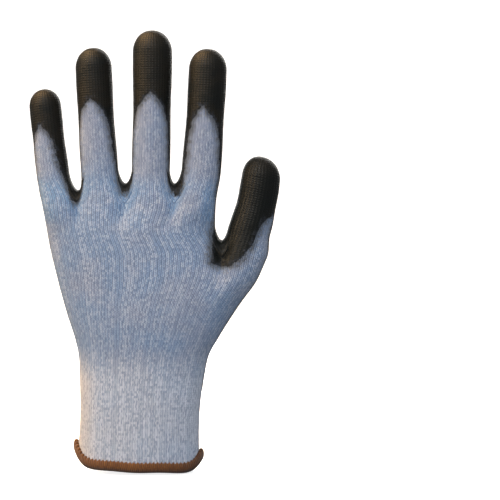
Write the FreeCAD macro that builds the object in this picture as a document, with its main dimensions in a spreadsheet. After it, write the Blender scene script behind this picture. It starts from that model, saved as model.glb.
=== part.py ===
"""A left-hand cut resistant work glove: a seamless knitted liner with a polyurethane film dipped over its palm.

Frame: the origin is the middle of the wrist opening. +Z runs up the hand to the fingertips, +X to the thumb, and
the palm faces +Y. The liner and the film are each cut where the glove folds, so that every stretch between two
folds is a solid of its own. A fold is a pair of slanted cuts that meet on the hinge line, so that the two
stretches close on each other, and never cross, over the whole turn.
"""

import FreeCAD, Part
import os
import Sketcher
from FreeCAD import Placement, Rotation, Vector

UP_YZ = Rotation(Vector(1, 1, 1), 120)
UP_XZ = Rotation(Vector(1, 0, 0), 90)

# Every driving dimension: alias, value in millimetres or degrees, what it is.
DIMENSIONS = [
    ("knit_wall", 1.3, "thickness of the knitted liner"),
    ("film", 0.5, "thickness of the dipped film"),
    ("slit", 0.3, "half the gap left on each hinge line"),
    ("roof", 1.4, "thickness of the knit between the fingers"),
    ("tilt_at", 50, "height of the side-to-side fold of the wrist"),
    ("tilt_x", 2, "where that fold's hinge lies across the wrist"),
    ("tilt_cut", 7.6, "slope of its cuts"),
    ("bend_at", 66, "height of the wrist's main fold"),
    ("bend_cut_palm", 25.1, "slope of its cuts on the palm side"),
    ("bend_cut_back", 20.1, "slope of its cuts on the back"),
    ("block_reach", 90, "half width of the blocks that divide the sleeve"),
    ("block_top", 175, "top of those blocks"),
    ("hem_height", 5.5, "height of the overlocked hem"),
    ("hem_proud", 1.3, "how far the hem stands outside the cuff"),
    ("hem_inside", 1.0, "how far it wraps inside the cuff"),
    ("hem_turn", 1.2, "thread under the raw edge of the cuff"),
    ("thread", 0.6, "thickness of an elastic thread"),
    ("thread_pitch", 7, "spacing of the elastic threads"),
    ("thread_first", 9, "height of the lowest one"),
    ("coat_low", 30, "lowest edge of the film on the palm side of the cuff"),
    ("coat_corner", 16, "radius of that edge's two corners"),
    ("coat_left", -19.5, "centre of its corner on the little finger's side"),
    ("coat_right", 24, "centre of its corner on the thumb's side"),
    ("coat_side", -0.5, "where the film ends on the sides of the hand"),
    ("coat_web", 9, "how far it reaches over the webs to the back"),
    ("root_depth", 7, "how far each digit runs down into the hand"),
    ("knuckle_at", 5.5, "height of a finger's first fold above the web"),
    ("knuckle_cut", 27.6, "slope of its cuts on the palm side"),
    ("knuckle_back", 7.6, "slope of its cuts on the back"),
    ("middle_share", 0.33, "height of the middle fold, as a share of the finger"),
    ("middle_cut", 40.1, "slope of its cuts on the palm side"),
    ("tip_share", 0.66, "height of the last fold, as a share of the finger"),
    ("tip_cut", 25.1, "slope of its cuts on the palm side"),
    ("swing_at", 3, "height of the thumb's swing fold above its web"),
    ("swing_cut", 10.1, "slope of its cuts"),
    ("thumb_bend_at", 12, "height of the thumb's first bending fold"),
    ("thumb_bend_cut", 25.1, "slope of its cuts on the pad side"),
    ("thumb_back", 5.1, "slope of its cuts on the back"),
    ("thumb_tip_at", 29, "height of the thumb's last fold"),
    ("thumb_tip_cut", 30.1, "slope of its cuts on the pad side"),
]

# Sections of the sleeve: name, height, little finger's side, thumb's side, half the depth.
SECTIONS = [
    ("hem", 0, -33.5, 34.5, 19.0),
    ("cuff", 30, -32.4, 35.0, 18.5),
    ("wrist", 62, -33.1, 38.6, 18.5),
    ("heel", 90, -39.5, 42.0, 19.0),
    ("palm", 125, -48.5, 44.0, 17.5),
    ("ball", 150, -54.0, 44.5, 14.5),
    ("web", 160, -56.0, 46.0, 11.2),
]

# Sections of the thumb's base, which swells out of the sleeve: the same columns.
THUMB_BASE = [
    ("base_low", 66, 8.0, 39.0, 18.0),
    ("base_heel", 87, 14.0, 51.9, 17.5),
    ("base_ball", 107, 29.0, 65.7, 14.5),
    ("base_web", 126, 40.0, 72.9, 11.9),
]

# Digits: name, x and z of the web, lean, twist, length, radius at the root and at the tip, then the half width,
# the shoulder and the peak of the bare knit on its back.
DIGITS = [
    ("little", -47.0, 160, -6.5, 0, 57.0, 8.3, 8.3, 5.6, 24, 35),
    ("ring", -21.0, 161, -3.3, 0, 79.2, 9.8, 9.4, 7.0, 33, 48),
    ("middle", 7.0, 161, 0.8, 0, 89.0, 9.9, 10.4, 7.4, 36, 52),
    ("index", 35.0, 161, 3.7, 0, 78.7, 10.2, 10.0, 6.8, 28, 44),
    ("thumb", 60.0, 128, 12.1, 50, 51.5, 11.2, 10.2, 6.5, 12, 22),
]
DIGIT_FIELDS = ("x", "z", "lean", "twist", "length", "root", "tip", "bare", "shoulder", "peak")
FINGERS = [row[0] for row in DIGITS if row[0] != "thumb"]
THREADS = 5

doc = FreeCAD.newDocument("Glove")


def fill_sheet():
    """Writes every driving dimension into the spreadsheet, each with an alias."""
    sheet = doc.addObject("Spreadsheet::Sheet", "Sizes")
    rows = list(DIMENSIONS)
    for name, height, left, right, depth in SECTIONS + THUMB_BASE:
        rows.append((name + "_z", height, "height of the section at the " + name))
        rows.append((name + "_left", left, "its edge on the little finger's side"))
        rows.append((name + "_right", right, "its edge on the thumb's side"))
        rows.append((name + "_depth", depth, "half its depth"))
    for digit in DIGITS:
        for field, value in zip(DIGIT_FIELDS, digit[1:]):
            rows.append((digit[0] + "_" + field, value, "of the " + digit[0]))
    for number, (alias, value, note) in enumerate(rows, start=1):
        sheet.set("A%d" % number, alias)
        sheet.set("B%d" % number, str(value))
        sheet.set("C%d" % number, note)
        sheet.setAlias("B%d" % number, alias)
    doc.recompute()
    return sheet


def bind(obj, **expressions):
    """Binds properties of an object to the sheet; a double underscore stands for a dot."""
    for name, expression in expressions.items():
        obj.setExpression(name.replace("__", "."), expression)
    return obj


def size(text):
    """Expands @alias to the sheet's cell in an expression."""
    return text.replace("@", "Sizes.")


def boolean(kind, name, shapes):
    """A MultiFuse or MultiCommon of several objects."""
    obj = doc.addObject("Part::Multi" + kind, name)
    obj.Shapes = shapes
    return obj


def cut(name, base, tool):
    """A Cut of one object by another."""
    obj = doc.addObject("Part::Cut", name)
    obj.Base = base
    obj.Tool = tool
    return obj


def fix_point(sketch, geometry, x_text, y_text):
    """Holds the start point of a sketch line at two expressions measured from the sketch's origin."""
    for kind, text in (("DistanceX", x_text), ("DistanceY", y_text)):
        number = sketch.addConstraint(Sketcher.Constraint(kind, -1, 1, geometry, 1, 1.0))
        sketch.setExpression("Constraints[%d]" % number, size(text))


def prism(name, turn, points, reach, one_side=False):
    """A block with a polygon of expression pairs as outline, extruded both ways or one way from its plane."""
    sketch = doc.addObject("Sketcher::SketchObject", name + "_outline")
    sketch.Placement = Placement(Vector(), turn)
    count = len(points)
    for i in range(count):
        here = Vector(10.0 * i, 1.0 * i * i, 0)
        after = Vector(10.0 * i + 5, 1.0 * i * i + 3, 0)
        sketch.addGeometry(Part.LineSegment(here, after))
    for i in range(count):
        sketch.addConstraint(Sketcher.Constraint("Coincident", i, 2, (i + 1) % count, 1))
    for i, (x_text, y_text) in enumerate(points):
        fix_point(sketch, i, x_text, y_text)
    block = doc.addObject("Part::Extrusion", name)
    block.Base = sketch
    block.DirMode = "Normal"
    block.Solid = True
    block.Symmetric = not one_side
    bind(block, LengthFwd=size(reach))
    return block


def section(name, where, grow, height):
    """A slot-shaped section of the sleeve, grown outwards by an expression."""
    left = size("@%s_left - (%s)" % (where, grow))
    right = size("@%s_right + (%s)" % (where, grow))
    depth = size("@%s_depth + (%s)" % (where, grow))
    sketch = doc.addObject("Sketcher::SketchObject", name)
    bind(sketch, Placement__Base__z=size(height))
    start, end, half = -30.0, 30.0, 15.0
    sketch.addGeometry(Part.LineSegment(Vector(start, -half, 0), Vector(end, -half, 0)))
    sketch.addGeometry(
        Part.ArcOfCircle(Part.Circle(Vector(end, 0, 0), Vector(0, 0, 1), half), -1.5707963, 1.5707963)
    )
    sketch.addGeometry(Part.LineSegment(Vector(end, half, 0), Vector(start, half, 0)))
    sketch.addGeometry(
        Part.ArcOfCircle(Part.Circle(Vector(start, 0, 0), Vector(0, 0, 1), half), 1.5707963, 4.7123890)
    )
    for i in range(4):
        ends = (i, 2, (i + 1) % 4, 1)
        sketch.addConstraint(Sketcher.Constraint("Tangent", *ends))
    sketch.addConstraint(Sketcher.Constraint("PointOnObject", 1, 3, -1))
    sketch.addConstraint(Sketcher.Constraint("PointOnObject", 3, 3, -1))
    for kind, place, text in (
        ("DistanceX", (-1, 1, 1, 3, end), "%s - (%s)" % (right, depth)),
        ("DistanceX", (-1, 1, 3, 3, start), "%s + (%s)" % (left, depth)),
        ("Radius", (1, half), depth),
        ("Radius", (3, half), depth),
    ):
        number = sketch.addConstraint(Sketcher.Constraint(kind, *place))
        sketch.setExpression("Constraints[%d]" % number, text)
    return sketch


def sleeve(name, rows, grow, top):
    """A loft through slot-shaped sections, grown outwards by an expression, with its own top height."""
    names = [row[0] for row in rows]
    heights = ["@%s_z" % where for where in names[:-1]] + [top]
    loft = doc.addObject("Part::Loft", name)
    loft.Sections = [
        section("%s_%s" % (name, where), where, grow, height) for where, height in zip(names, heights)
    ]
    loft.Solid = True
    loft.Ruled = True
    return loft


def cone(name, low, high, height, place):
    """A cone between two radii, with its height and its placement as expressions."""
    obj = doc.addObject("Part::Cone", name)
    bind(obj, Radius1=size(low), Radius2=size(high), Height=size(height), Placement=size(place))
    return obj


def digit_solid(digit, name, grow):
    """A digit as a solid cone with a round tip, in its own frame, grown outwards by an expression."""
    reach = "@{0}_length - @{0}_tip + @root_depth".format(digit)
    tube = cone(
        name + "_tube",
        "@%s_root + (%s)" % (digit, grow),
        "@%s_tip + (%s)" % (digit, grow),
        reach,
        "placement(vector(0; 0; -@root_depth); rotation(vector(0; 0; 1); 0))",
    )
    ball = doc.addObject("Part::Sphere", name + "_ball")
    bind(
        ball,
        Radius=size("@%s_tip + (%s)" % (digit, grow)),
        Placement__Base__z=size("@{0}_length - @{0}_tip".format(digit)),
    )
    return boolean("Fuse", name, [tube, ball])


def digit_place(digit):
    """The placement of a digit: it stands on its web, leans in the plane of the hand and is twisted."""
    text = (
        "placement(vector(@{0}_x; 0; @{0}_z); "
        "rotation(vector(0; 1; 0); @{0}_lean) * rotation(vector(0; 0; 1); @{0}_twist))"
    )
    return size(text.format(digit))


def fold_points(reach, at, cut_palm, cut_back, side):
    """The three points of a fold in the plane of its turn: the cuts slope away from the hinge line."""
    text = "{at} {side} (@slit + ({reach}) * tan({slope}))"
    hinge = "{at} {side} @slit".format(at=at, side=side)
    return [
        ("-(%s)" % reach, text.format(at=at, side=side, reach=reach, slope=cut_back)),
        ("0", hinge),
        (reach, text.format(at=at, side=side, reach=reach, slope=cut_palm)),
    ]


def digit_block(name, reach, low, high):
    """The block between two folds of a digit. A fold is (height, slope on the pad side, slope on the back)."""
    below = fold_points(reach, *low, "+")
    above = fold_points(reach, *high, "-")
    return prism(name, UP_YZ, below + above[::-1], "2 * (%s)" % reach)


def digit_flat_end(reach, at):
    """A fold that is only a level cut."""
    return [("-(%s)" % reach, at), (reach, at)]


def finger_folds(digit):
    """The folds of a finger, from the web up."""
    return [
        ("@knuckle_at", "@knuckle_cut", "@knuckle_back"),
        ("@%s_length * @middle_share" % digit, "@middle_cut", "0"),
        ("@%s_length * @tip_share" % digit, "@tip_cut", "0"),
    ]


THUMB_FOLDS = [
    ("@thumb_bend_at", "@thumb_bend_cut", "@thumb_back"),
    ("@thumb_tip_at", "@thumb_tip_cut", "0"),
]


def bare_window(digit):
    """The pointed arch of bare knit on the back of a digit, as a block that takes the film away there."""
    half = "@%s_bare" % digit
    low = "-@root_depth - 10"
    points = [
        ("-" + half, low),
        (half, low),
        (half, "@%s_shoulder" % digit),
        ("0", "@%s_peak" % digit),
        ("-" + half, "@%s_shoulder" % digit),
    ]
    return prism(digit + "_window", UP_XZ, points, "@block_reach", one_side=True)


def swing_half(name, side):
    """The half of the thumb above or below its swing fold, whose hinge lies across the thumb's thickness."""
    reach = "@block_reach"
    fold = fold_points(reach, "@swing_at", "@swing_cut", "@swing_cut", side)
    far = "@block_top" if side == "+" else "-@block_top"
    block = prism(name, UP_XZ, fold + [(reach, far), ("-" + reach, far)], "2 * @block_reach")
    untwist = "placement(vector(0; 0; 0); rotation(vector(0; 0; 1); -@thumb_twist))"
    bind(block.Base, Placement=size(untwist + " * placement(vector(0; 0; 0); rotation(vector(1; 0; 0); 90))"))
    return block


def digit_family(digit):
    """Makes a digit's solids in its own frame: outer, inner, film, and the film without its window."""
    outer = digit_solid(digit, digit + "_outer", "0")
    inner = digit_solid(digit, digit + "_inner", "-@knit_wall")
    film = digit_solid(digit, digit + "_film", "@film")
    coated = cut(digit + "_coated", film, bare_window(digit))
    return outer, inner, film, coated


def place(obj, digit):
    """Stands a digit's piece in the hand."""
    return bind(obj, Placement=digit_place(digit))


def digit_pieces(digit, family, names, folds):
    """Cuts the knit and the film of a digit into the stretches between its folds."""
    outer, inner, _, coated = family
    reach = "@%s_root + @film + 0.2" % digit
    knit = cut(digit + "_knit_whole", outer, inner)
    coat = cut(digit + "_coat_whole", coated, outer)
    made = []
    for number, name in enumerate(names):
        low = folds[number]
        if number + 1 < len(folds):
            block = digit_block("%s_%s_block" % (digit, name), reach, low, folds[number + 1])
        else:
            top = digit_flat_end(reach, "@%s_length + 5" % digit)
            outline = fold_points(reach, *low, "+") + top[::-1]
            block = prism("%s_%s_block" % (digit, name), UP_YZ, outline, "2 * (%s)" % reach)
        for material, whole in (("knit", knit), ("coating", coat)):
            piece = boolean("Common", "%s_%s_%s" % (material, digit, name), [whole, block])
            made.append(place(piece, digit))
    return made


def thumb_root_pieces(family):
    """The short stretch of the thumb between its swing fold and its first bending fold."""
    outer, inner, _, coated = family
    reach = "@thumb_root + @film + 0.2"
    outline = digit_flat_end(reach, "-@root_depth") + fold_points(reach, *THUMB_FOLDS[0], "-")[::-1]
    below_bend = prism("thumb_root_block", UP_YZ, outline, "2 * (%s)" % reach)
    above_swing = swing_half("thumb_above_swing", "+")
    knit = cut("thumb_root_knit_whole", outer, inner)
    coat = cut("thumb_root_coat_whole", coated, outer)
    made = []
    for material, whole in (("knit", knit), ("coating", coat)):
        piece = boolean("Common", material + "_thumb_root", [whole, below_bend, above_swing])
        made.append(place(piece, "thumb"))
    return made


def stub_block(digit):
    """The part of a digit that belongs to the hand: everything below its first fold."""
    if digit == "thumb":
        return swing_half("thumb_below_swing", "-")
    reach = "@%s_root + @film + 0.2" % digit
    fold = fold_points(reach, *finger_folds(digit)[0], "-")
    outline = digit_flat_end(reach, "-@root_depth - 5") + fold[::-1]
    return prism(digit + "_stub_block", UP_YZ, outline, "2 * (%s)" % reach)


def coated_region():
    """Where the film lies on the hand: the palm side, with round lower corners, and over the webs."""
    parts = []
    low = "@coat_low + @coat_corner"
    side = "@coat_side"
    wide = "2 * @block_reach"
    boxes = (
        ("coat_hand", "-@block_reach", side, low, wide, "@block_reach", "@block_top"),
        ("coat_tail", "@coat_left", side, "@coat_low", "@coat_right - @coat_left", wide, "@coat_corner + 1"),
        ("coat_webs", "@little_x", "-@coat_web", "@web_z - 4", "@index_x - @little_x", wide, "20"),
    )
    for name, x, y, z, length, width, height in boxes:
        box = doc.addObject("Part::Box", name)
        bind(box, Length=size(length), Width=size(width), Height=size(height))
        bind(box, Placement__Base__x=size(x), Placement__Base__y=size(y), Placement__Base__z=size(z))
        parts.append(box)
    for name in ("coat_left", "coat_right"):
        corner = doc.addObject("Part::Cylinder", name + "_corner")
        text = "placement(vector(@{0}; @coat_side; @coat_low + @coat_corner); rotation(vector(1; 0; 0); -90))"
        bind(corner, Radius=size("@coat_corner"), Height=size("@block_reach"), Placement=size(text.format(name)))
        parts.append(corner)
    return boolean("Fuse", "coated_region", parts)


def sleeve_blocks():
    """The blocks that divide the sleeve into cuff, wrist and palm."""
    reach = "@block_reach"
    tilt = ("@tilt_at", "@tilt_cut", "@tilt_cut")
    bend = ("@bend_at", "@bend_cut_palm", "@bend_cut_back")
    shift = "@tilt_x"

    def moved(points):
        return [("%s + (%s)" % (shift, x), z) for x, z in points]

    low = [(reach, "-10"), ("-" + reach, "-10")]
    high = [(reach, "@block_top"), ("-" + reach, "@block_top")]
    cuff = prism("cuff_block", UP_XZ, moved(fold_points(reach, *tilt, "-") + low), "2 * @block_reach")
    over_tilt = prism("over_tilt", UP_XZ, moved(fold_points(reach, *tilt, "+") + high), "2 * @block_reach")
    under_bend = prism("under_bend", UP_YZ, fold_points(reach, *bend, "-") + low, "2 * @block_reach")
    palm = prism("palm_block", UP_YZ, fold_points(reach, *bend, "+") + high, "2 * @block_reach")
    return {"cuff": [cuff], "wrist": [over_tilt, under_bend], "palm": [palm]}


def hand_solid(name, families, stubs, index, grow, drop):
    """The hand as one solid: its sleeve, the base of the thumb and the stubs that the digits stand on."""
    parts = [
        sleeve(name + "_sleeve", SECTIONS, grow, "@web_z - (%s)" % drop),
        sleeve(name + "_base", THUMB_BASE, grow, "@base_web_z - (%s)" % drop),
    ]
    for digit, family in families.items():
        stub = boolean("Common", "%s_%s_stub" % (name, digit), [family[index], stubs[digit]])
        parts.append(place(stub, digit))
    return boolean("Fuse", name, parts)


def hand_pieces(families):
    """The cuff, the wrist and the palm, knit and film; also the hollow inside them."""
    stubs = {digit: stub_block(digit) for digit in families}
    outer = hand_solid("hand_outer", families, stubs, 0, "0", "0")
    inner = hand_solid("hand_inner", families, stubs, 1, "-@knit_wall", "@roof")
    skin = hand_solid("hand_skin", families, stubs, 2, "@film", "-@film")
    knit_hand = cut("hand_knit", outer, inner)
    coat_hand = cut("hand_coat", boolean("Common", "hand_coated", [skin, coated_region()]), outer)
    made = []
    for name, blocks in sleeve_blocks().items():
        for material, whole in (("knit", knit_hand), ("coating", coat_hand)):
            made.append(boolean("Common", "%s_%s" % (material, name), [whole] + blocks))
    return made, inner


def band(name, outer_grow, inner_grow, low, height):
    """A band that follows the cuff's lowest section, between two offsets from it."""
    rings = []
    for label, grow in (("outside", outer_grow), ("inside", inner_grow)):
        ring = doc.addObject("Part::Extrusion", "%s_%s" % (name, label))
        ring.Base = section("%s_%s_section" % (name, label), "hem", grow, low)
        ring.DirMode = "Normal"
        ring.Solid = True
        bind(ring, LengthFwd=size(height))
        rings.append(ring)
    return cut(name, *rings)


def hem_pieces(pieces):
    """Shortens the cuff's knit above the turned thread, and makes the overlocked hem that wraps its raw edge."""
    knit = next(piece for piece in pieces if piece.Name == "knit_cuff")
    turn = doc.addObject("Part::Box", "hem_turn_box")
    bind(turn, Length=size("2 * @block_reach"), Width=size("2 * @block_reach"), Height=size("@hem_turn + 10"))
    bind(turn, Placement__Base__x=size("-@block_reach"), Placement__Base__y=size("-@block_reach"))
    bind(turn, Placement__Base__z="-10")
    trimmed = cut("knit_cuff_trimmed", knit, turn)
    hem = band("hem_band", "@hem_proud", "-@knit_wall - @hem_inside", "0", "@hem_height")
    return trimmed, cut("overlock_hem", hem, trimmed)


def elastic_threads(inner):
    """The elastic threads laid round the inside of the cuff: level slices of a thin lining."""
    core = sleeve("thread_core", SECTIONS, "-@knit_wall - @thread", "@web_z - @roof - 1")
    lining = cut("thread_lining", inner, core)
    slices = []
    for number in range(THREADS):
        slab = doc.addObject("Part::Box", "thread_slab_%d" % number)
        bind(slab, Length=size("2 * @block_reach"), Width=size("2 * @block_reach"), Height=size("@thread"))
        bind(slab, Placement__Base__x=size("-@block_reach"), Placement__Base__y=size("-@block_reach"))
        bind(slab, Placement__Base__z=size("@thread_first + %d * @thread_pitch" % number))
        slices.append(slab)
    return boolean("Common", "elastic_threads", [lining, boolean("Fuse", "thread_slabs", slices)])


def check(objects):
    """Stops if any object failed, or if a sub-part is not a valid solid."""
    for obj in doc.Objects:
        if "Invalid" in obj.State or "Error" in obj.State:
            raise RuntimeError("%s failed: %s" % (obj.Name, obj.State))
    for obj in objects:
        shape = obj.Shape
        if shape.isNull() or not shape.isValid() or not shape.Solids:
            raise RuntimeError("%s has no valid solid" % obj.Label)


def main():
    fill_sheet()
    families = {row[0]: digit_family(row[0]) for row in DIGITS}
    pieces, inner = hand_pieces(families)
    trimmed, hem = hem_pieces(pieces)
    pieces = [piece for piece in pieces if piece.Name != "knit_cuff"] + [trimmed, hem, elastic_threads(inner)]
    for digit in FINGERS:
        pieces += digit_pieces(digit, families[digit], ("base", "mid", "end"), finger_folds(digit))
    pieces += thumb_root_pieces(families["thumb"])
    pieces += digit_pieces("thumb", families["thumb"], ("base", "end"), THUMB_FOLDS)
    doc.getObject("knit_cuff").Label = "knit_cuff_untrimmed"
    trimmed.Label = "knit_cuff"
    doc.recompute()
    check(pieces)
    os.makedirs("parts", exist_ok=True)
    for piece in pieces:
        piece.Shape.exportStep(os.path.join("parts", piece.Label + ".step"))
        print("%-22s solids %d  volume %.1f mm3" % (piece.Label, len(piece.Shape.Solids), piece.Shape.Volume))


main()
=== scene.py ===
"""The looks of a knitted work glove with a dipped palm, laid out as a Blender add-on and run as a script.

The liner is worked out the way a glove machine knits it: wales (upright columns of stitches) run from the cuff to the
fingertips, courses (rows of stitches) run round the hand, and the sleeve of the hand parts into the thumb, and then
the palm parts into the four fingers. Every surface is a grid of two parameters, wales by courses. The film is a second,
coarser set of the same grids that stands proud of the liner where the palm side was dipped. Shapes are worked out in
millimetres and put into the meshes in metres. Front is the back of the hand (-Y), and the thumb is on +X.
"""

import math
from collections import namedtuple

import bpy
import numpy as np
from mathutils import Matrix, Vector


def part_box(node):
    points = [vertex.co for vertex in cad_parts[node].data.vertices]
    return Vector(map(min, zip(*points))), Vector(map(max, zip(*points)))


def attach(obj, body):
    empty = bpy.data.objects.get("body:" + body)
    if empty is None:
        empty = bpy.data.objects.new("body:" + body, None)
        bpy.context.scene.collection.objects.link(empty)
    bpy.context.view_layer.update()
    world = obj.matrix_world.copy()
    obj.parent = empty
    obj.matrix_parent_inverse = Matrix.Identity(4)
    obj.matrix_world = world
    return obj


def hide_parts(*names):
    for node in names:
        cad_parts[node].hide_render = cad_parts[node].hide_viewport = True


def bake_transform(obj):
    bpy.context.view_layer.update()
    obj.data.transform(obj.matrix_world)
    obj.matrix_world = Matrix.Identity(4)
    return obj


bl_info = {
    "name": "Cut resistant glove",
    "version": (1, 0, 0),
    "blender": (4, 5, 0),
    "location": "View3D > Sidebar > Glove",
    "description": "Knits a work glove and dips its palm, around a rigid frame of the same glove",
    "category": "Object",
}

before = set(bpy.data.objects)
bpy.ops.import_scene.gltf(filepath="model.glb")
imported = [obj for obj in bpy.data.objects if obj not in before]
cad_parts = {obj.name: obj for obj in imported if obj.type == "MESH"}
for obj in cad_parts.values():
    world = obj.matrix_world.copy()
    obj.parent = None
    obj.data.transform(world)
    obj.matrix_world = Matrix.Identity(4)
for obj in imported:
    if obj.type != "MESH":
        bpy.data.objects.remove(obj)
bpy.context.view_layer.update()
MM = 0.001

# Lengths are in millimetres.
COURSE = 1.35  # height of one course
HAND_WALES = 62  # wales on each face of the hand below the thumb
PALM_WALES = 52  # wales on each face of the palm above the thumb
SPLIT_WALE = 48  # where the thumb's wales begin
WEB_WALES = 4  # wales knitted on each face over a crotch
THUMB_FROM = 86.0  # where the thumb starts to show as a bulge
THUMB_WALE_AT = 121.0  # where the thumb's wales leave the hand's
PALM_FROM = 140.0  # first level course above the thumb's crotch
FINGERS_AT = 152.0  # where the palm parts into the fingers
CUFF_HALF = 35.0  # half the width of the cuff
CUFF_MIDDLE = 0.5  # x of its middle
HEM_ROW = 2.0  # height on the sleeve at which the hem is sewn
HEM_SETTLES = 40.0  # height above which the courses no longer follow the hem
HEM_OUT = 0.1  # how far outside the sleeve's line the hem's middle lies
HEM_LEAN = 1.5  # threads by which the overlock leans on its way round the hem
ELASTIC_PITCH = 7.0  # from one elastic thread to the next
FILM_FADES = -2.2  # reach at which the film ends
FILM_ROOT = 0.5  # how deep in the liner the film's inner face lies
BULGE_POWER = 0.82  # how square a bulge of the hand is: 1 is an ellipse

# Grid columns for each wale and grid rows for each course: a fine grid for the yarn, a coarser one for the film.
Gauge = namedtuple("Gauge", "columns rows")
YARN = Gauge(6, 4)
DIP = Gauge(3, 2)

# The outline of the sleeve: height, little finger's side, thumb's side, half depth to the back and to the palm.
SLEEVE = np.array([
    (0, -33.7, 34.6, 18.4, 18.4),
    (21, -32.8, 34.5, 18.2, 18.2),
    (36, -32.5, 35.0, 18.2, 18.3),
    (56, -32.9, 37.6, 18.4, 18.7),
    (66, -33.4, 39.8, 18.6, 19.0),
    (76.5, -35.6, 45.4, 18.8, 19.3),
    (87, -39.0, 51.9, 18.8, 19.4),
    (97, -42.0, 58.6, 18.4, 19.3),
    (107, -44.7, 66.0, 17.8, 18.8),
    (121, -48.2, 72.6, 16.9, 17.9),
])
# The palm above the thumb: the same columns.
PALM = np.array([
    (121, -48.2, 44.6, 16.9, 17.9),
    (132, -50.4, 43.6, 16.0, 16.6),
    (140, -51.9, 43.4, 15.2, 15.4),
    (147, -53.2, 43.5, 13.9, 14.0),
    (152, -54.2, 43.8, 12.7, 12.8),
])
# The thumb's bulge before it parts: height, where its valley lies, the valley's and the bulge's half depths.
THUMB_BULGE = np.array([
    (88, 34.0, 17.5, 18.0),
    (100, 41.5, 15.0, 16.2),
    (110, 46.0, 11.5, 14.2),
    (121, 47.6, 8.0, 12.9),
])
THUMB_CROTCH = 131.3

# Digits: name, wales of the hand it takes, web x and z, lean, length, half width at root and tip, sideways bow, height
# of its first round loop, and the heights along it of its folds: where it starts and ends to turn on the palm, where
# its second and third pieces start, and where the third has turned. A fold is longer than 1.5 * angle * half width,
# or its inner side would turn inside out, and the first starts above the crotches that neighbours share.
Digit = namedtuple("Digit", "name wales x z lean length root tip bow round_at folds")
DIGITS = (
    Digit("little", (0, 12), -47.0, 160.0, -6.5, 57.0, 8.9, 8.6, -0.3, 10.0, (0.0, 12.2, 12.2, 31.2, 48.0)),
    Digit("ring", (12, 24), -21.0, 161.0, -3.3, 79.2, 10.2, 9.9, -0.4, 11.0, (2.2, 17.4, 17.4, 40.0, 64.0)),
    Digit("middle", (24, 36), 7.0, 161.0, 0.8, 89.0, 10.4, 10.8, 0.3, 11.0, (3.0, 18.8, 18.8, 44.0, 72.0)),
    Digit("index", (36, 52), 35.0, 161.0, 3.7, 78.7, 10.8, 10.4, 0.5, 11.0, (2.2, 17.8, 17.8, 40.6, 63.0)),
    Digit("thumb", (48, 62), 60.0, 128.0, 12.1, 51.5, 11.7, 10.6, 2.0, 9.0, (1.0, 9.0, 9.0, 20.0, 38.0)),
)
# Between two fingers, by wale: the height of the crotch, how far below it the film's crescent ends, and the valley's x.
CROTCHES = {12: 159.6, 24: 163.5, 36: 163.5}
WEB_DROPS = {12: 7.4, 24: 5.4, 36: 5.0}
VALLEYS = {12: -33.7, 24: -6.9, 36: 21.0}
VALLEY_DEPTH = 8.0


# ---------------------------------------------------------------- curves and grids

def through(at, table, column):
    """A smooth curve through a table's points: cubics whose slope at a point is the mean of its neighbours'."""
    heights, values = table[:, 0], table[:, column]
    slopes = np.gradient(values, heights)
    i = np.clip(np.searchsorted(heights, at) - 1, 0, len(heights) - 2)
    span = heights[i + 1] - heights[i]
    t = (at - heights[i]) / span
    return hermite(t, values[i], values[i + 1], slopes[i] * span, slopes[i + 1] * span)


def hermite(t, start, end, leave, arrive):
    """The cubic from start to end that leaves and arrives with the given speeds, at t from 0 to 1."""
    return (
        (2 * t**3 - 3 * t**2 + 1) * start + (t**3 - 2 * t**2 + t) * leave
        + (3 * t**2 - 2 * t**3) * end + (t**3 - t**2) * arrive
    )


def ease(value, low, high):
    """Rises smoothly from 0 at low to 1 at high."""
    t = np.clip((value - low) / (high - low), 0, 1)
    return t * t * (3 - 2 * t)


def unit(vectors):
    """Vectors of length 1."""
    return vectors / np.maximum(np.linalg.norm(vectors, axis=-1, keepdims=True), 1e-9)


def bulge(start, end, depth, start_depth, end_depth, steps):
    """Rows of evenly spaced points over one bulge of the hand, as across and depth.

    Each row follows depth * sin(angle)^0.82 against a cosine across the bulge, cut off where the curve has fallen to
    the depth asked for at either end, and is then measured out again by arc length.
    """
    start, end, depth, start_depth, end_depth = (
        np.asarray(v, float)[:, None] for v in np.broadcast_arrays(start, end, depth, start_depth, end_depth)
    )
    first = np.arcsin(np.clip(start_depth / depth, 0, 0.999) ** (1 / BULGE_POWER))
    last = math.pi - np.arcsin(np.clip(end_depth / depth, 0, 0.999) ** (1 / BULGE_POWER))
    angle = first + (last - first) * np.linspace(0, 1, 161)
    half = (end - start) / (np.cos(first) - np.cos(last))
    across = start + half * (np.cos(first) - np.cos(angle))
    deep = depth * np.clip(np.sin(angle), 0, 1) ** BULGE_POWER
    run = np.hypot(np.diff(across), np.diff(deep)).cumsum(axis=1)
    run = np.concatenate([np.zeros_like(run[:, :1]), run], axis=1)
    even = np.linspace(0, 1, steps + 1)
    rows = range(len(run))
    x = np.stack([np.interp(even * run[r, -1], run[r], across[r]) for r in rows])
    y = np.stack([np.interp(even * run[r, -1], run[r], deep[r]) for r in rows])
    return x, y


def side_by_side(bulges):
    """Joins neighbouring bulges into one half of the hand: the point they share is kept once."""
    x = np.concatenate([b[0][:, : None if i == len(bulges) - 1 else -1] for i, b in enumerate(bulges)], axis=1)
    y = np.concatenate([b[1][:, : None if i == len(bulges) - 1 else -1] for i, b in enumerate(bulges)], axis=1)
    return x, y


def closed_loops(z, back, palm):
    """Rows of closed loops: the back from the little finger's side to the thumb's, then the palm on the way home."""
    x = np.concatenate([back[0], palm[0][:, -2:0:-1]], axis=1)
    y = np.concatenate([-back[1], palm[1][:, -2:0:-1]], axis=1)
    return np.stack([x, y, np.broadcast_to(z[:, None], x.shape)], axis=-1)


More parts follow.
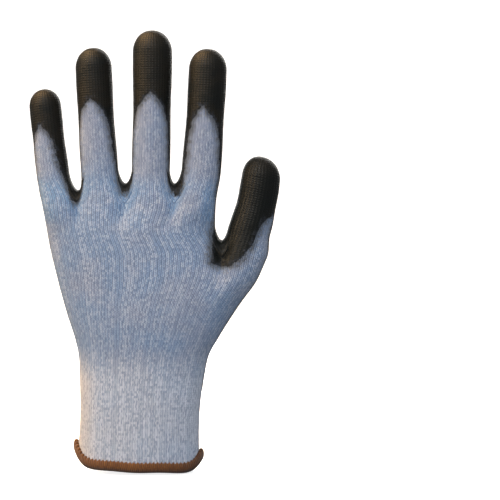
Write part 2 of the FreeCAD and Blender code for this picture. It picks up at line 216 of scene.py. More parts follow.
def soften(loops, gauge):
    """Rounds the creases of each loop: the mean of each point with its neighbours one wale to either side."""
    reach = gauge.columns
    total = np.zeros_like(loops)
    for step in range(-reach, reach + 1):
        total += np.roll(loops, step, axis=1) * (1 + math.cos(math.pi * step / (reach + 1)))
    weight = sum(1 + math.cos(math.pi * step / (reach + 1)) for step in range(-reach, reach + 1))
    return total / weight


def facing(grid):
    """Outward unit normals of a grid of closed loops: along the loop crossed with up the rows."""
    along = np.roll(grid, -1, axis=1) - np.roll(grid, 1, axis=1)
    return unit(np.cross(along, np.gradient(grid, axis=0)))


# ---------------------------------------------------------------- the hand, as grids of wales by courses

# One tube of the hand, or some of its rows: its points, their outward normals, the wale of each column, the course and
# height of each row, both faces of its wall, the normals it is shaded by, how far inside the dipped area each point is,
# the column of its parent that each point of its first row lies on (-1 on an arch), and a digit's tip and direction.
Cloth = namedtuple("Cloth", "name grid normals wale course height joins outside inside shading reach tip axis",
                   defaults=(None,) * 7)
PARENTS = {"palm": "sleeve", "thumb": "sleeve", "index": "palm", "middle": "palm", "ring": "palm", "little": "palm"}


def rows_of(cloth, low, high):
    """The rows of a tube from one height to another, both included; with no upper height, up to the tip."""
    first = int(np.searchsorted(cloth.height, low - 1e-6))
    last = len(cloth.height) if high is None else int(np.searchsorted(cloth.height, high - 1e-6)) + 1
    by_row = ("grid", "normals", "course", "height", "outside", "inside", "shading", "reach")
    part = {field: getattr(cloth, field)[first:last] for field in by_row}
    return cloth._replace(**part, tip=cloth.tip if high is None else None)


def hand_bulges(outline, cuts, valleys, valley_depth, depths, gauge):
    """One half of the hand, parted into a bulge between each two of the cut wales.

    outline holds both sides of each row; valleys, valley_depth and depths say for each row where the valleys lie, how
    deep they are, and how deep each bulge is.
    """
    edges = [outline[0], *valleys, outline[1]]
    floors = [0, *[valley_depth] * len(valleys), 0]
    return side_by_side([
        bulge(edges[i], edges[i + 1], deep, floors[i], floors[i + 1], (cuts[i + 1] - cuts[i]) * gauge.columns)
        for i, deep in enumerate(depths)
    ])


def sleeve(gauge):
    """The cuff, the wrist and the heel of the hand, up to where the thumb parts from it.

    Each row eases from one bulge round the whole hand into two, the palm's and the thumb's, between 88 mm and the top.
    The lowest rows rise towards the sides of the wrist, as the hem does.
    """
    z = np.arange(0, THUMB_WALE_AT + 1e-6, COURSE / gauge.rows)
    z *= THUMB_WALE_AT / z[-1]
    steps = HAND_WALES * gauge.columns
    outline = through(z, SLEEVE, 1), through(z, SLEEVE, 2)
    at = np.clip(z, THUMB_BULGE[0, 0], None)
    parted_outline = through(at, SLEEVE, 1), through(at, SLEEVE, 2)
    valley, floor, thumb = (through(at, THUMB_BULGE, column) for column in (1, 2, 3))
    share = ease(z, THUMB_FROM, THUMB_WALE_AT)[:, None]
    halves = []
    for side in (3, 4):
        whole = bulge(*outline, through(z, SLEEVE, side), 0, 0, steps)
        depths = [through(at, SLEEVE, side), thumb]
        parted = hand_bulges(parted_outline, (0, SPLIT_WALE, HAND_WALES), [valley], floor, depths, gauge)
        halves.append(tuple(w + (p - w) * share for w, p in zip(whole, parted)))
    loops = soften(closed_loops(z, *halves), gauge)
    loops[..., 2] += hem_rise(loops[..., 0]) * (1 - ease(loops[..., 2], 0, HEM_SETTLES))
    course = np.arange(len(z)) / gauge.rows
    return Cloth("sleeve", loops, facing(loops), np.arange(2 * steps) / gauge.columns, course, z)


def across_cuff(x):
    """How far from the cuff's middle a point is, from -1 to 1 at its sides."""
    return np.clip((x - CUFF_MIDDLE) / CUFF_HALF, -1, 1)


def hem_rise(x):
    """How high the hem lies: it tilts a little, and curls up at the sides of the wrist by a steep power of x."""
    off = across_cuff(x)
    return 1.5 - 0.045 * x + np.where(off < 0, 12.5, 10.0) * np.abs(off) ** 13


def hem_flare(x):
    """How far the hem's ends stand out from the cuff, by a power of x."""
    return 1.4 * np.abs(across_cuff(x)) ** 8


def crown(parent, first, last, heights, gauge):
    """The loop from which a tube parts: its share of the parent's top row, closed by an arch over each crotch.

    An arch is half an ellipse in the plane of its crotch. The tube leaves the loop at right angles to it: straight up
    from the middle of the hand, straight inwards from the arches, and turning from one to the other on both sides of
    the corner where they meet. Returns the points, those directions, their normals, how far they have turned (0 to 1)
    and the parent's columns.
    """
    c, half = gauge.columns, parent.grid.shape[1] // 2
    top, normals = parent.grid[-1], parent.normals[-1]
    up = unit(parent.grid[-1] - parent.grid[-2])
    a, b = first * c, last * c
    back, palm = np.arange(a, b + 1), np.arange(2 * half - b, 2 * half - a + 1) % (2 * half)
    centre = (top[a] + top[b]) / 2

    def arch(start, end, crest):
        """Half an ellipse over the crotch, from one face to the other."""
        middle, reach = (top[start] + top[end]) / 2, (top[end, 1] - top[start, 1]) / 2
        rise = crest - middle[2]
        fine = np.linspace(0, math.pi, 181)
        run = np.hypot(np.diff(reach * np.cos(fine)), np.diff(rise * np.sin(fine))).cumsum()
        count = 2 * WEB_WALES * c
        even = np.linspace(0, run[-1], count + 1)[1:-1]
        turn = np.interp(even, np.append(0, run), fine)[:, None]
        points = middle + np.concatenate([0 * turn, -reach * np.cos(turn), rise * np.sin(turn)], axis=1)
        inward = np.array([math.copysign(1.0, centre[0] - middle[0]), 0, 0])
        step = np.arange(1, count)
        turned = 0.5 + 0.5 * ease(np.minimum(step, count - step), 0, 2 * c)
        angle = turned[:, None] * math.pi / 2
        leave = np.cos(angle) * unit(up[start] + up[end]) + np.sin(angle) * inward
        out = unit(np.concatenate([0 * turn, -np.cos(turn) / reach, np.sin(turn) / rise], axis=1))
        return points, leave, out, turned, np.full(len(turn), -1)

    def lobe(columns, from_left, from_right):
        """One face of the hand, which leans in over three wales beside each arch."""
        turned, inward = np.zeros(len(columns)), np.zeros((len(columns), 3))
        for crest, distance, side in ((heights[0], from_left, 1.0), (heights[1], from_right, -1.0)):
            if crest:
                share = 0.5 * (1 - ease(distance, 0, 3 * c))
                turned += share
                inward[:, 0] += side * share
        angle = turned[:, None] * math.pi / 2
        leave = unit(np.cos(angle) * up[columns] + np.sin(angle) * np.sign(inward))
        return top[columns], leave, normals[columns], turned, columns

    count = np.arange(b - a + 1)
    back_part, palm_part = lobe(back, count, count[::-1]), lobe(palm, count[::-1], count)
    right = arch(b, 2 * half - b, heights[1]) if heights[1] else None
    left = arch(2 * half - a, a, heights[0]) if heights[0] else None
    parts = [back_part]
    parts += [right, palm_part] if right else [tuple(v[1:] for v in palm_part)]
    if left:
        middle = WEB_WALES * c - 1
        parts = [tuple(v[middle:] for v in left)] + parts + [tuple(v[:middle] for v in left)]
    else:
        parts[-1] = tuple(v[:-1] for v in parts[-1])
    return [np.concatenate(v) for v in zip(*parts)]


def bridge(start, leave, arched, end, arrive, gauge):
    """Rows from a crown to the first round loop of its tube, each column a cubic that keeps both directions."""
    gap = np.linalg.norm(end - start, axis=1)[:, None]
    count = max(6, int(round(np.percentile(gap, 80) / (COURSE / gauge.rows))))
    t = np.linspace(0, 1, count + 1)[:-1, None, None]
    speed = gap * (1 - 0.35 * arched[:, None])
    return hermite(t, start[None], end[None], (leave * speed)[None], (arrive * gap)[None])


def tube_loops(digit, h, radius, gauge_columns):
    """Round loops of a digit at the given heights: a circle, a little flatter than wide, on a gently bowed axis."""
    lean = math.radians(digit.lean)
    axis = np.array([math.sin(lean), 0, math.cos(lean)])
    across = np.array([math.cos(lean), 0, -math.sin(lean)])
    share = np.clip(h / digit.length, -0.2, 1.0)
    middle = np.array([digit.x, 0, digit.z]) + h[:, None] * axis
    middle = middle + (4 * digit.bow * share * (1 - share))[:, None] * across
    turn = 2 * math.pi * np.arange(gauge_columns) / gauge_columns
    ring = -np.cos(turn)[:, None] * across + (-0.95 * np.sin(turn))[:, None] * np.array([0, 1.0, 0])
    return middle[:, None] + radius[:, None, None] * ring[None], axis


def digit_tube(digit, parent, crests, gauge):
    """A finger or the thumb, from its crown to its closed tip: a bridge, a slowly tapering tube and a dome.

    The dome's rows turn through a right angle: their heights follow its sine and their radii its cosine.
    """
    first, last = digit.wales
    start, leave, start_normals, arched, joins = crown(parent, first, last, crests, gauge)
    step = COURSE / gauge.rows
    dome = 1.12 * digit.tip
    straight = np.arange(digit.round_at, digit.length - dome, step)
    turn = np.arange(step / dome, math.pi / 2 - 0.6 * step / dome, step / dome)
    h = np.concatenate([straight, digit.length - dome + dome * np.sin(turn)])
    share = (straight - digit.round_at) / (digit.length - dome - digit.round_at)
    waist = 1 - 0.018 * np.sin(math.pi * share) + 0.012 * np.sin(3 * math.pi * share)
    radius = (digit.root + (digit.tip - digit.root) * share) * waist
    radius = np.concatenate([radius, radius[-1] * np.cos(turn) ** 0.92])
    loops, axis = tube_loops(digit, h, radius, len(start))
    lower = bridge(start, leave, arched, loops[0], axis[None], gauge)
    grid = np.concatenate([lower, loops])
    normals = facing(grid)
    normals[0] = start_normals
    height = np.concatenate([np.linspace(-9, digit.round_at, len(lower) + 1)[:-1], h])
    course = parent.course[-1] + np.arange(len(grid)) / gauge.rows
    tip = loops[-1].mean(axis=0) + (digit.length - h[-1]) * axis
    return Cloth(digit.name, grid, normals, np.arange(len(start)) / gauge.columns, course, height, joins,
                 tip=tip, axis=axis)


def palm_tube(parent, gauge):
    """The palm above the thumb's crotch: a bridge from its crown, then rows that part into four bulges."""
    start, leave, start_normals, arched, joins = crown(parent, 0, SPLIT_WALE, (None, THUMB_CROTCH), gauge)
    z = np.arange(PALM_FROM, FINGERS_AT + 1e-6, COURSE / gauge.rows)
    z *= 1 + (FINGERS_AT - z[-1]) / z[-1] * ease(z, PALM_FROM, FINGERS_AT)
    cuts = (0, *VALLEYS, PALM_WALES)
    outline = through(z, PALM, 1), through(z, PALM, 2)
    valleys = [np.full(len(z), x) for x in VALLEYS.values()]
    share = ease(z, PALM_FROM - 6, FINGERS_AT + 1)[:, None]
    halves = []
    for side in (3, 4):
        depth = through(z, PALM, side)
        whole = bulge(*outline, depth, 0, 0, PALM_WALES * gauge.columns)
        depths = [0.93 * depth, depth, depth, depth]
        parted = hand_bulges(outline, cuts, valleys, np.full(len(z), VALLEY_DEPTH), depths, gauge)
        halves.append(tuple(w + (p - w) * share for w, p in zip(whole, parted)))
    loops = soften(closed_loops(z, *halves), gauge)
    arrive = unit(loops[1] - loops[0])
    lower = bridge(start, leave, arched, loops[0], arrive, gauge)
    grid = np.concatenate([lower, loops])
    normals = facing(grid)
    normals[0] = start_normals
    height = np.concatenate([np.linspace(THUMB_WALE_AT, PALM_FROM, len(lower) + 1)[:-1], z])
    course = parent.course[-1] + np.arange(len(grid)) / gauge.rows
    return Cloth("palm", grid, normals, np.arange(grid.shape[1]) / gauge.columns, course, height, joins)


def knit_hand(gauge):
    """Every tube of the glove at one gauge, by name."""
    tubes = {"sleeve": sleeve(gauge)}
    tubes["palm"] = palm_tube(tubes["sleeve"], gauge)
    for digit in DIGITS:
        parent = tubes["sleeve" if digit.name == "thumb" else "palm"]
        if digit.name == "thumb":
            crests = (THUMB_CROTCH, None)
        else:
            crests = (CROTCHES.get(digit.wales[0]), CROTCHES.get(digit.wales[1]))
        tubes[digit.name] = digit_tube(digit, parent, crests, gauge)
    return tubes


# ---------------------------------------------------------------- reliefs

def lattice_noise(points, size, seed):
    """Smooth noise from -1 to 1: values hashed on a lattice of cells, eased between the eight corners of each."""
    cell = points / np.asarray(size, float)
    whole = np.floor(cell).astype(np.int64)
    part = cell - whole
    part = part * part * (3 - 2 * part)
    total = 0.0
    for corner in range(8):
        offset = np.array([corner & 1, corner >> 1 & 1, corner >> 2 & 1])
        at = whole + offset
        key = (at[..., 0] * 73856093 ^ at[..., 1] * 19349663 ^ at[..., 2] * 83492791 ^ seed * 2654435761) & 0xFFFFFF
        key = (key * (key * key * 15731 + 789221) + 1376312589) & 0x7FFFFFFF
        weight = np.prod(np.where(offset == 1, part, 1 - part), axis=-1)
        total = total + weight * (key / 0x3FFFFFFF - 1)
    return total


def stitch_height(wale, course):
    """Plain knitting, 0 to 1: in each wale two rounded legs that spread as they climb from one course to the next."""
    a, b = wale % 1, course % 1
    off = np.abs(np.abs(a - 0.5) - (0.15 + 0.13 * b))
    return np.clip(1 - (off / 0.17) ** 2, 0, 1) * (0.55 + 0.45 * np.sin(math.pi * b))


def dip_height(cloth):
    """Ripples of the film in millimetres: fine crinkles across the palm, a deep crease or two, and faint ripples on the
    digits.

    Each ripple is noise in cells a few times wider than tall; the creases are narrow bells along wandering lines.
    """
    x, y, z = np.moveaxis(cloth.grid, -1, 0)
    palm = ease(y, 2, 9) * ease(z, 52, 78) * (1 - ease(z, 158, 176))
    warp = cloth.grid + 4.0 * lattice_noise(cloth.grid, (22, 22, 22), 5)[..., None]
    crinkle = 1 - np.abs(lattice_noise(warp, (7.5, 9, 2.6), 3)) * 2
    fine = lattice_noise(warp, (2.6, 3, 1.7), 9)
    across = 92.7 + 0.9 * np.sin(x / 11.0)
    crease = np.exp(-(((z - across) / 0.8) ** 2)) * ease(x, -32, -24) * (1 - ease(x, 18, 27)) * palm
    upright = np.exp(-(((x - 11 - 0.8 * np.sin(z / 5)) / 0.7) ** 2)) * ease(z, 64, 70) * (1 - ease(z, 84, 92)) * palm
    finger = (1 - palm) * 0.05 * lattice_noise(cloth.grid, (3.5, 3.5, 2.4), 12)
    return palm * (0.15 * crinkle + 0.08 * fine) + finger - 0.2 * crease - 0.14 * upright


# ---------------------------------------------------------------- where the hand was dipped

# The bare window on the back of each finger, as angles round it from the little finger's side (0) to the thumb's side
# (180): the height where its sides start to close, the height of its peak, the angle of the peak, the angles of both
# sides at the lower height, and how much they open for each millimetre further down.
Window = namedtuple("Window", "shoulder peak peak_at left right open_left open_right")
WINDOWS = {
    "little": Window(19.0, 36.0, 66.0, 14.0, 112.0, 0.6, 1.5),
    "ring": Window(24.0, 50.0, 78.0, 12.0, 142.0, 0.4, 1.2),
    "middle": Window(25.0, 53.0, 88.0, 15.0, 155.0, 0.4, 0.6),
    "index": Window(19.0, 45.0, 80.0, 36.0, 150.0, 0.3, 1.0),
}
# Edges of the film over the root of the thumb, on the back of the hand: its lower edge, x and height, and the edge
# towards the palm, height and x.
THUMB_EDGE = np.array([
    (39.0, 119.0), (41.3, 118.0), (43.0, 117.4), (46.0, 116.6), (52.0, 116.2), (57.7, 119.6), (61.6, 123.4),
    (66.0, 131.0), (68.8, 137.8), (72.8, 143.0), (77.0, 145.0), (84.0, 146.0),
])
THUMB_SIDE = np.array([(110.0, 42.5), (120.0, 41.2), (134.0, 41.4), (141.0, 43.0), (146.0, 47.0)])
WRIST_EDGE = 30.0
WRIST_EDGE_RISE = 16.0
# Painted warm reflections in the hollows of the palm between the digits: x, height, half width and half height.
REFLECTION_SPOTS = ((18.5, 151.0, 5.0, 5.5), (-9.5, 152.0, 5.0, 5.5), (-36.0, 153.5, 4.5, 5.0), (37.5, 117.0, 6.0, 7.5))


def window_reach(cloth, radius):
    """How far outside a finger's bare window a point is: the window closes to a peak as (1 - t^2)^0.75 of its width."""
    window = WINDOWS[cloth.name]
    count = cloth.grid.shape[1]
    angle = 360.0 * np.arange(count) / count
    t = np.clip((cloth.height - window.shoulder) / (window.peak - window.shoulder), 0, 1)
    width = (1 - t * t) ** 0.75
    below = np.clip(window.shoulder - cloth.height, 0, 14)
    left = window.peak_at - (window.peak_at - window.left) * width - window.open_left * below
    right = window.peak_at + (window.right - window.peak_at) * width + window.open_right * below
    degrees = np.maximum(left[:, None] - angle, angle - np.minimum(right, 186)[:, None])
    return np.maximum(radius * np.radians(degrees), (cloth.height - window.peak)[:, None])


def painted_reflection_spots(cloth):
    """0 to 1: how strongly the painted warm reflection shows in the hollows of the palm below each crotch, as round
    bells.
    """
    x, y, z = np.moveaxis(cloth.grid, -1, 0)
    total = 0 * x
    for at_x, at_z, wide, tall in REFLECTION_SPOTS:
        total += np.exp(-(((x - at_x) / wide) ** 2 + ((z - at_z) / tall) ** 2))
    return total * ease(y, 0, 5)


def dip_reach(cloth):
    """How far inside the dipped area every point of a tube is, in millimetres, negative on the bare liner.

    It is the greatest of several reaches: the palm side above the wrist's edge, the sides and tips of the digits, the
    root of the thumb, and a crescent under each crotch, whose edge is a cubic of the distance from the valley.
    """
    x, y, z = np.moveaxis(cloth.grid, -1, 0)
    side = y + 0.4 + 1.6 * ease(x, 25, 45) * ease(z, 66, 90)
    wrist = (z - WRIST_EDGE - WRIST_EDGE_RISE * np.clip(np.abs(x - 1.3) / 33.2, 0, 1) ** 5) * 0.9
    reach = np.minimum(side, wrist)
    if cloth.name in ("sleeve", "palm", "thumb"):
        slopes = np.gradient(THUMB_EDGE[:, 1], THUMB_EDGE[:, 0])
        slope = np.interp(x, THUMB_EDGE[:, 0], slopes)
        root = (z - np.interp(x, THUMB_EDGE[:, 0], THUMB_EDGE[:, 1])) / np.sqrt(1 + slope**2)
        inward = x - np.interp(z, THUMB_SIDE[:, 0], THUMB_SIDE[:, 1])
        reach = np.maximum(reach, np.minimum(root, inward))
    if cloth.name != "sleeve":
        for wale, crest in CROTCHES.items():
            off = np.abs(x - VALLEYS[wale] + (1.3 if wale == 12 else 0.0))
            web = (z - crest + WEB_DROPS[wale] - 0.12 * off**3) * 1.1
            near = np.minimum(6.5 - off, crest + 7.0 - z)
            reach = np.maximum(reach, np.minimum(web, near))
    if cloth.name in WINDOWS:
        reach = np.maximum(reach, np.where(z > 156, window_reach(cloth, 9.5), -30))
    u, v = np.broadcast_arrays(cloth.wale[None, :], cloth.course[:, None])
    drift = lattice_noise(np.stack([u / 1.6, v / 1.6, 0 * u], axis=-1), (1, 1, 1), 21)
    return reach + 0.7 * drift


# ---------------------------------------------------------------- meshes

def make_mesh(name, points, faces, places, layers, shading=None, flat=()):
    """A mesh from points in millimetres and lists of quads and triangles.

    places holds the wale and course of every face corner, which become the UV map; layers holds values of the points.
    shading holds the points' normals, and flat says which of the lists of faces are rims, which aren't rounded off.
    """
    mesh = bpy.data.meshes.new(name)
    used = np.zeros(len(points), bool)
    for group in faces:
        used[group.ravel()] = True
    renumber = np.cumsum(used) - 1
    sizes = np.concatenate([np.full(len(group), group.shape[1]) for group in faces])
    corners = np.concatenate([renumber[group].ravel() for group in faces])
    mesh.vertices.add(int(used.sum()))
    mesh.vertices.foreach_set("co", (points[used] * MM).astype(np.float32).ravel())
    mesh.loops.add(len(corners))
    mesh.loops.foreach_set("vertex_index", corners.astype(np.int32))
    mesh.polygons.add(len(sizes))
    mesh.polygons.foreach_set("loop_start", np.concatenate([[0], np.cumsum(sizes)[:-1]]).astype(np.int32))
    smooth = np.concatenate([np.full(len(group), i not in flat) for i, group in enumerate(faces)])
    mesh.polygons.foreach_set("use_smooth", smooth)
    mesh.update(calc_edges=True)
    stitches = mesh.uv_layers.new(name="stitches")
    stitches.data.foreach_set("uv", np.concatenate([p.reshape(-1, 2) for p in places]).astype(np.float32).ravel())
    for layer, values in layers.items():
        kind, field = ("FLOAT", "value") if values.ndim == 1 else ("FLOAT_VECTOR", "vector")
        attribute = mesh.attributes.new(layer, kind, "POINT")
        attribute.data.foreach_set(field, values[used].astype(np.float32).ravel())
    if mesh.validate():
        raise RuntimeError(f"{name} has faulty faces")
    if shading is not None:
        mesh.normals_split_custom_set_from_vertices(shading[used])
    piece = bpy.data.objects.new(name, mesh)
    bpy.context.scene.collection.objects.link(piece)
    return piece


def quads_between(lower, upper, column, columns):
    """Quads from one row of points to the next, facing outwards, for the given columns of a closed loop."""
    right = (column + 1) % columns
    return np.stack([lower + column, lower + right, upper + right, upper + column], axis=-1).reshape(-1, 4)


def tip_fans(last_row, inner_row, columns, top, cloth):
    """The two fans of triangles that close a digit's tip, outside and inside, and the places of their corners."""
    column = np.arange(columns)
    right = (column + 1) % columns
    outer = np.stack([last_row + column, last_row + right, 0 * column + top], axis=1)
    inner = np.stack([inner_row + right, inner_row + column, 0 * column + top + 1], axis=1)
    stitch = cloth.wale[1]
    u = np.stack([column, column + 1, column + 0.5], axis=1) * stitch
    place = np.stack([u, np.full(u.shape, cloth.course[-1])], axis=-1)
    return np.concatenate([outer, inner]), np.concatenate([place, place[:, (1, 0, 2)]])


def knit_piece(cloth, name, gauge, thick):
    """The liner: the outer face has every stitch, the inner one has a row for each two courses.

    Both are closed loops of the same columns, joined by a rim at the bottom and by a rim or two poles at the top.
    """
    rows, columns = cloth.grid.shape[:2]
    kept = np.unique(np.append(np.arange(0, rows, 2 * gauge.rows), rows - 1))
    inner = cloth.inside[kept]
    points = np.concatenate([cloth.outside.reshape(-1, 3), inner.reshape(-1, 3)])
    size, column = rows * columns, np.arange(columns)
    stitch = cloth.wale[1]

    def places(low, high):
        """Wale and course of the corners of the quads between two rows."""
        u = np.stack([column, column + 1, column + 1, column], axis=1)[None] * stitch
        v = np.stack([low, low, high, high], axis=-1)[:, None]
        return np.stack(np.broadcast_arrays(u, v), axis=-1).reshape(-1, 4, 2)

    row = np.arange(rows - 1)[:, None] * columns
    in_row = size + np.arange(len(kept) - 1)[:, None] * columns
    outer_places = places(cloth.course[:-1], cloth.course[1:])
    inner_places = places(cloth.course[kept][:-1], cloth.course[kept][1:])
    inner_top = size + (len(kept) - 1) * columns
    faces = [
        quads_between(row, row + columns, column, columns),
        quads_between(in_row, in_row + columns, column, columns)[:, ::-1],
        quads_between(np.array([[size]]), np.array([[0]]), column, columns),
    ]
    corners = [outer_places, inner_places[:, ::-1], places(cloth.course[:1], cloth.course[:1])]
    layers = {
        "dip": np.concatenate([cloth.reach.ravel(), cloth.reach[kept].ravel()]),
        "laid": np.concatenate([cloth.grid.reshape(-1, 3), cloth.grid[kept].reshape(-1, 3)]),
    }
    shading = np.concatenate([cloth.shading.reshape(-1, 3), -cloth.normals[kept].reshape(-1, 3)])
    if cloth.tip is None:
        faces.append(quads_between(np.array([[size - columns]]), np.array([[inner_top]]), column, columns))
        corners.append(places(cloth.course[-1:], cloth.course[-1:]))
    else:
        fans, fan_places = tip_fans(size - columns, inner_top, columns, len(points), cloth)
        points = np.concatenate([points, [cloth.tip, cloth.tip - thick * cloth.axis]])
        layers = {k: np.concatenate([v, np.repeat(v[size - columns:size - columns + 1], 2, axis=0)])
                  for k, v in layers.items()}
        shading = np.concatenate([shading, [cloth.axis, -cloth.axis]])
        faces.append(fans)
        corners.append(fan_places)
    return make_mesh(name, points, faces, corners, layers, shading, (2, 3) if cloth.tip is None else (2,))


def dip_piece(cloth, name):
    """The film: the quads of a tube that lie inside the dipped area, as a closed wall with a rim along every edge."""
    rows, columns = cloth.grid.shape[:2]
    reach = np.minimum(cloth.reach, np.roll(cloth.reach, -1, axis=1))
    keep = np.minimum(reach[:-1], reach[1:]) > FILM_FADES
    r, c = np.nonzero(keep)
    size, right = rows * columns, (c + 1) % columns
    a, b, d, e = r * columns + c, r * columns + right, (r + 1) * columns + right, (r + 1) * columns + c
    stitch = cloth.wale[1]
    u = np.stack([c, c + 1, c + 1, c], axis=1) * stitch
    v = np.stack([cloth.course[r], cloth.course[r], cloth.course[r + 1], cloth.course[r + 1]], axis=1)
    place = np.stack([u, v], axis=-1)
    outer = np.stack([a, b, d, e], axis=1)
    faces, corners = [outer, outer[:, ::-1] + size], [place, place[:, ::-1]]
    none = np.zeros((1, columns), bool)
    tipped = cloth.tip is not None and bool(keep[-1].all())
    neighbours = (
        (np.vstack([none, keep[:-1]]), b, a, (1, 0)),
        (np.vstack([keep[1:], none | tipped]), e, d, (3, 2)),
        (np.roll(keep, 1, axis=1), a, e, (0, 3)),
        (np.roll(keep, -1, axis=1), d, b, (2, 1)),
    )
    for beside, first, second, (i, j) in neighbours:
        rim = ~beside[r, c]
        one, two = first[rim], second[rim]
        faces.append(np.stack([one, two, two + size, one + size], axis=1))
        corners.append(place[rim][:, (i, j, j, i)])
    points = np.concatenate([cloth.outside.reshape(-1, 3), cloth.inside.reshape(-1, 3)])
    layers = {"dip": np.tile(cloth.reach.ravel(), 2), "laid": np.tile(cloth.grid.reshape(-1, 3), (2, 1)),
              "worn": np.tile(painted_reflection_spots(cloth).ravel(), 2)}
    shading = np.concatenate([cloth.shading.reshape(-1, 3), -cloth.normals.reshape(-1, 3)])
    if tipped:
        fans, fan_places = tip_fans(size - columns, 2 * size - columns, columns, len(points), cloth)
        rise = (cloth.outside[-1] - cloth.grid[-1]) * cloth.normals[-1]
        points = np.concatenate([points, [cloth.tip + rise.sum(axis=1).mean() * cloth.axis,
                                          cloth.tip - FILM_ROOT * cloth.axis]])
        layers = {k: np.concatenate([v, v[size - 1:size], v[size - 1:size]]) for k, v in layers.items()}
        shading = np.concatenate([shading, [cloth.axis, -cloth.axis]])
        faces.append(fans)
        corners.append(fan_places)
    return make_mesh(name, points, faces, corners, layers, shading, (2, 3, 4, 5))


def shaded(tubes):
    """The tubes with the normals of their outer faces, made the same where one tube parts from another."""
    shading = {name: facing(cloth.outside) for name, cloth in tubes.items()}
    for name, parent in PARENTS.items():
        joins, first, last = tubes[name].joins, shading[name][0], shading[parent][-1]
        on_parent = joins >= 0
        shared = unit(first[on_parent] + last[joins[on_parent]])
        first[on_parent] = last[joins[on_parent]] = shared
        first[~on_parent] = tubes[name].normals[0][~on_parent]
    return [cloth._replace(shading=shading[name]) for name, cloth in tubes.items()]


def knitted(gauge, thick, stitch):
    """The liner's tubes: the outer face stands out by the stitches, the inner one lies a wall's thickness within."""
    tubes = knit_hand(gauge)
    for name, cloth in tubes.items():
        relief = stitch * stitch_height(cloth.wale[None, :], cloth.course[:, None])[..., None]
        tubes[name] = cloth._replace(outside=cloth.grid + relief * cloth.normals,
                                     inside=cloth.grid - thick * cloth.normals, reach=dip_reach(cloth))
    return shaded(tubes)


def dipped(gauge, film):
    """The film's tubes: it rises out of the liner over the edge of the dipped area, with its ripples inside it."""
    tubes = knit_hand(gauge)
    for name, cloth in tubes.items():
        reach = dip_reach(cloth)
        relief = -FILM_ROOT + (film + FILM_ROOT) * ease(reach, -1.2, 1.6) + dip_height(cloth) * ease(reach, 0.5, 5)
        tubes[name] = cloth._replace(outside=cloth.grid + relief[..., None] * cloth.normals,
                                     inside=cloth.grid - (FILM_ROOT + 0.1) * cloth.normals, reach=reach)
    return shaded(tubes)


def round_the_cuff(height, out, count):
    """A closed line round the cuff: evenly spaced points, outward directions and the length of one step.

    The line follows the sleeve's row at that height, moved out by the distance asked for.
    """
    cloth = sleeve(DIP)
    row = int(np.searchsorted(cloth.height, height))
    normals = unit(cloth.normals[row] * (1, 1, 0))
    line = cloth.grid[row] + out * normals
    line = np.concatenate([line, line[:1]])
    normals = np.concatenate([normals, normals[:1]])
    run = np.append(0, np.linalg.norm(np.diff(line, axis=0), axis=1).cumsum())
    at = np.linspace(0, run[-1], count, endpoint=False)
    even = np.stack([np.interp(at, run, line[:, k]) for k in range(3)], axis=1)
    outward = unit(np.stack([np.interp(at, run, normals[:, k]) for k in range(3)], axis=1))
    return even, outward, run[-1] / count


def ring_piece(name, centre, outward, out, up, turns):
    """A closed ring: a profile, given as distances out and up for every point round it, carried along a line.

    centre and outward have a row for each point of the line; out and up a row for each and a column for each point of
    the profile. turns is how many threads lie along the line.
    """
    grid = centre[:, None] + out[..., None] * outward[:, None] + up[..., None] * np.array([0, 0, 1.0])
    count, sides = out.shape
    i, j = np.meshgrid(np.arange(count), np.arange(sides), indexing="ij")
    following, above = (i + 1) % count, (j + 1) % sides
    faces = np.stack([i * sides + j, following * sides + j, following * sides + above, i * sides + above], axis=-1)
    u = np.stack([i, i + 1, i + 1, i], axis=-1) * turns / count
    v = np.stack([j, j, j + 1, j + 1], axis=-1) / sides
    return make_mesh(name, grid.reshape(-1, 3), [faces.reshape(-1, 4)], [np.stack([u, v], axis=-1).reshape(-1, 4, 2)],
                     {"laid": grid.reshape(-1, 3)})


def at_height(z):
    """A point on the middle line of the sleeve, in metres."""
    return (0.0, 0.0, z * MM)


def along(digit, h):
    """A point on a digit's axis, in metres."""
    lean = math.radians(digit.lean)
    return ((digit.x + h * math.sin(lean)) * MM, 0.0, (digit.z + h * math.cos(lean)) * MM)


# Pieces of the sleeve: name, lowest and highest row, the bodies it lies across, the heights where the joint between
# them starts and ends, and the body whose solid it stands for.
SLEEVE_PIECES = (
    ("cuff", 1.0, 28.0, ("cuff",), None, "cuff"),
    ("cuff_top", 28.0, 56.0, ("cuff", "wrist"), (40.0, 56.0), "cuff"),
    ("wrist", 56.0, 88.0, ("wrist", "palm"), (56.0, 88.0), "wrist"),
    ("heel", 88.0, None, ("palm",), None, "palm"),
)


def hold(piece, bodies, start=None, end=None):
    """Puts a piece on its body when it has one; a piece that spans two bodies only has its transform put into its mesh.
    """
    if len(bodies) == 1:
        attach(piece, bodies[0])
    else:
        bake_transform(piece)


